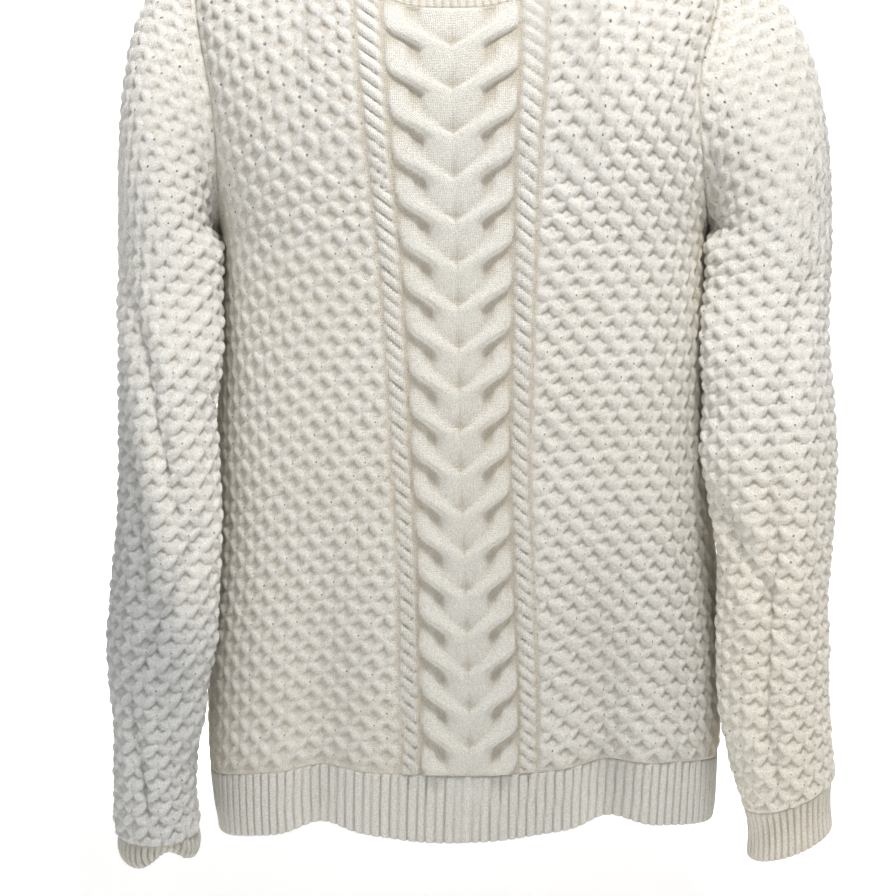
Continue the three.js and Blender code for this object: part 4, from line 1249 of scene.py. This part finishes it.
fast = False
front = panel("front", 66, 128, 262, 94)
back = panel("back", 54, 108, 204, 88)
hem_front = hem("front", 110, 200, 18)
hem_back = hem("back", 100, 180, 16)
REACH = reach_of((front, back))
arm_left = sleeve(-1, LEFT_SLEEVE, 176, 92, 232, -650.0)
arm_right = sleeve(1, RIGHT_SLEEVE, 184, 92, 216, -619.0)
cuff_l = tube_piece("cuff_left_knit", left_cuff(200, 24), 5.2, ("low",), -1, tone_value=0.45, shade=forearm_shade)
cuff_r = tube_piece("cuff_right_knit", right_cuff(240, 16), 5.5, ("low",), 1, tone_value=0.36)
band = tube_piece("neckband_knit", neckband(200, 14), 5.6, ("top",), 1, tone_value=0.25)

PIECES = [
    (front, "front", "aran_knit", knit, (0.47, 0.66), None),
    (back, "back", "aran_knit", knit, (0.47, 0.66), None),
    (arm_left, "sleeve_left", "aran_knit", knit, None, None),
    (arm_right, "sleeve_right", "aran_knit", knit, None, None),
    (hem_front, "hem_rib_front", "rib_knit", ribbed, None, None),
    (hem_back, "hem_rib_back", "rib_knit", ribbed, None, None),
    (cuff_l, "cuff_left", "rib_knit", ribbed, None, None),
    (cuff_r, "cuff_right", "rib_knit", ribbed, None, None),
    (band, "neckband", "rib_knit", ribbed, None, None),
]
# each piece takes its material, hangs from the root body, and hides its solid
for obj, node, slot, mat, _, _ in PIECES:
    obj.data.materials.append(mat)
    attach(obj, "root")
    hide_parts(node)

# ------------------------------------------------------------------ stage
def stage_floor():
    # a pale sweep: floor, soft bend and wall behind
    prof = [(-4.0, -0.80), (1.6, -0.80)]
    for k in range(1, 13):
        a = k / 12 * math.pi / 2
        prof.append((1.6 + 1.2 * math.sin(a), -0.80 + 1.2 * (1 - math.cos(a))))
    prof.append((2.8, 3.5))
    verts, faces = [], []
    for y, z in prof:
        verts += [(-5.0, y, z), (5.0, y, z)]
    for k in range(len(prof) - 1):
        a = 2 * k
        faces.append((a, a + 1, a + 3, a + 2))
    mesh = bpy.data.meshes.new("backdrop")
    mesh.from_pydata(verts, [], faces)
    for p in mesh.polygons:
        p.use_smooth = True
    obj = bpy.data.objects.new("backdrop", mesh)
    bpy.context.scene.collection.objects.link(obj)
    mat = bpy.data.materials.new("backdrop_pale")
    mat.use_nodes = True
    b = mat.node_tree.nodes["Principled BSDF"]
    b.inputs["Base Color"].default_value = (0.93, 0.93, 0.93, 1)
    b.inputs["Emission Color"].default_value = (1.0, 1.0, 1.0, 1)
    b.inputs["Emission Strength"].default_value = 0.37
    b.inputs["Roughness"].default_value = 0.9
    b.inputs["Specular IOR Level"].default_value = 0.0
    mesh.materials.append(mat)


stage_floor()

world = bpy.data.worlds.new("studio")
bpy.context.scene.world = world
world.use_nodes = True
bg = world.node_tree.nodes["Background"]
bg.inputs["Color"].default_value = (1.0, 0.995, 0.985, 1)
bg.inputs["Strength"].default_value = 0.22


def area_light(name, loc, target, size, power, color):
    data = bpy.data.lights.new(name, "AREA")
    data.shape = "RECTANGLE"
    data.size, data.size_y = size
    data.energy = power
    data.color = color
    obj = bpy.data.objects.new(name, data)
    obj.location = loc
    obj.rotation_euler = (Vector(target) - Vector(loc)).to_track_quat("-Z", "Y").to_euler()
    bpy.context.scene.collection.objects.link(obj)


area_light("key", (0.26, -0.76, 1.66), (0, 0, -0.28), (0.42, 0.30), 50.5, (1.0, 0.985, 0.96))
area_light("fill", (-1.9, -1.2, 1.3), (0, 0, -0.25), (1.0, 1.2), 9, (0.88, 0.94, 1.0))
area_light("right", (1.8, -1.0, 1.2), (0, 0, -0.25), (0.8, 1.0), 6, (1.0, 0.97, 0.92))
area_light("front", (-0.5, -1.9, 0.15), (-0.05, 0, -0.30), (0.6, 0.6), 4.0, (1.0, 0.965, 0.91))
area_light("back", (0.0, 2.0, 1.9), (0, 0, -0.3), (2.0, 1.2), 24, (1.0, 0.99, 0.97))

cam_data = bpy.data.cameras.new("camera")
cam_data.sensor_width = 36.0
cam_data.lens = 36.0 * 1886.0 / 896.0
cam = bpy.data.objects.new("camera", cam_data)
cam.location = (-0.012, -1.42, -0.115)
cam.rotation_euler = (80 * RAD, 0, 0)
bpy.context.scene.collection.objects.link(cam)
bpy.context.scene.camera = cam
bpy.context.scene.view_settings.view_transform = "Standard"
bpy.context.scene.view_settings.look = "None"
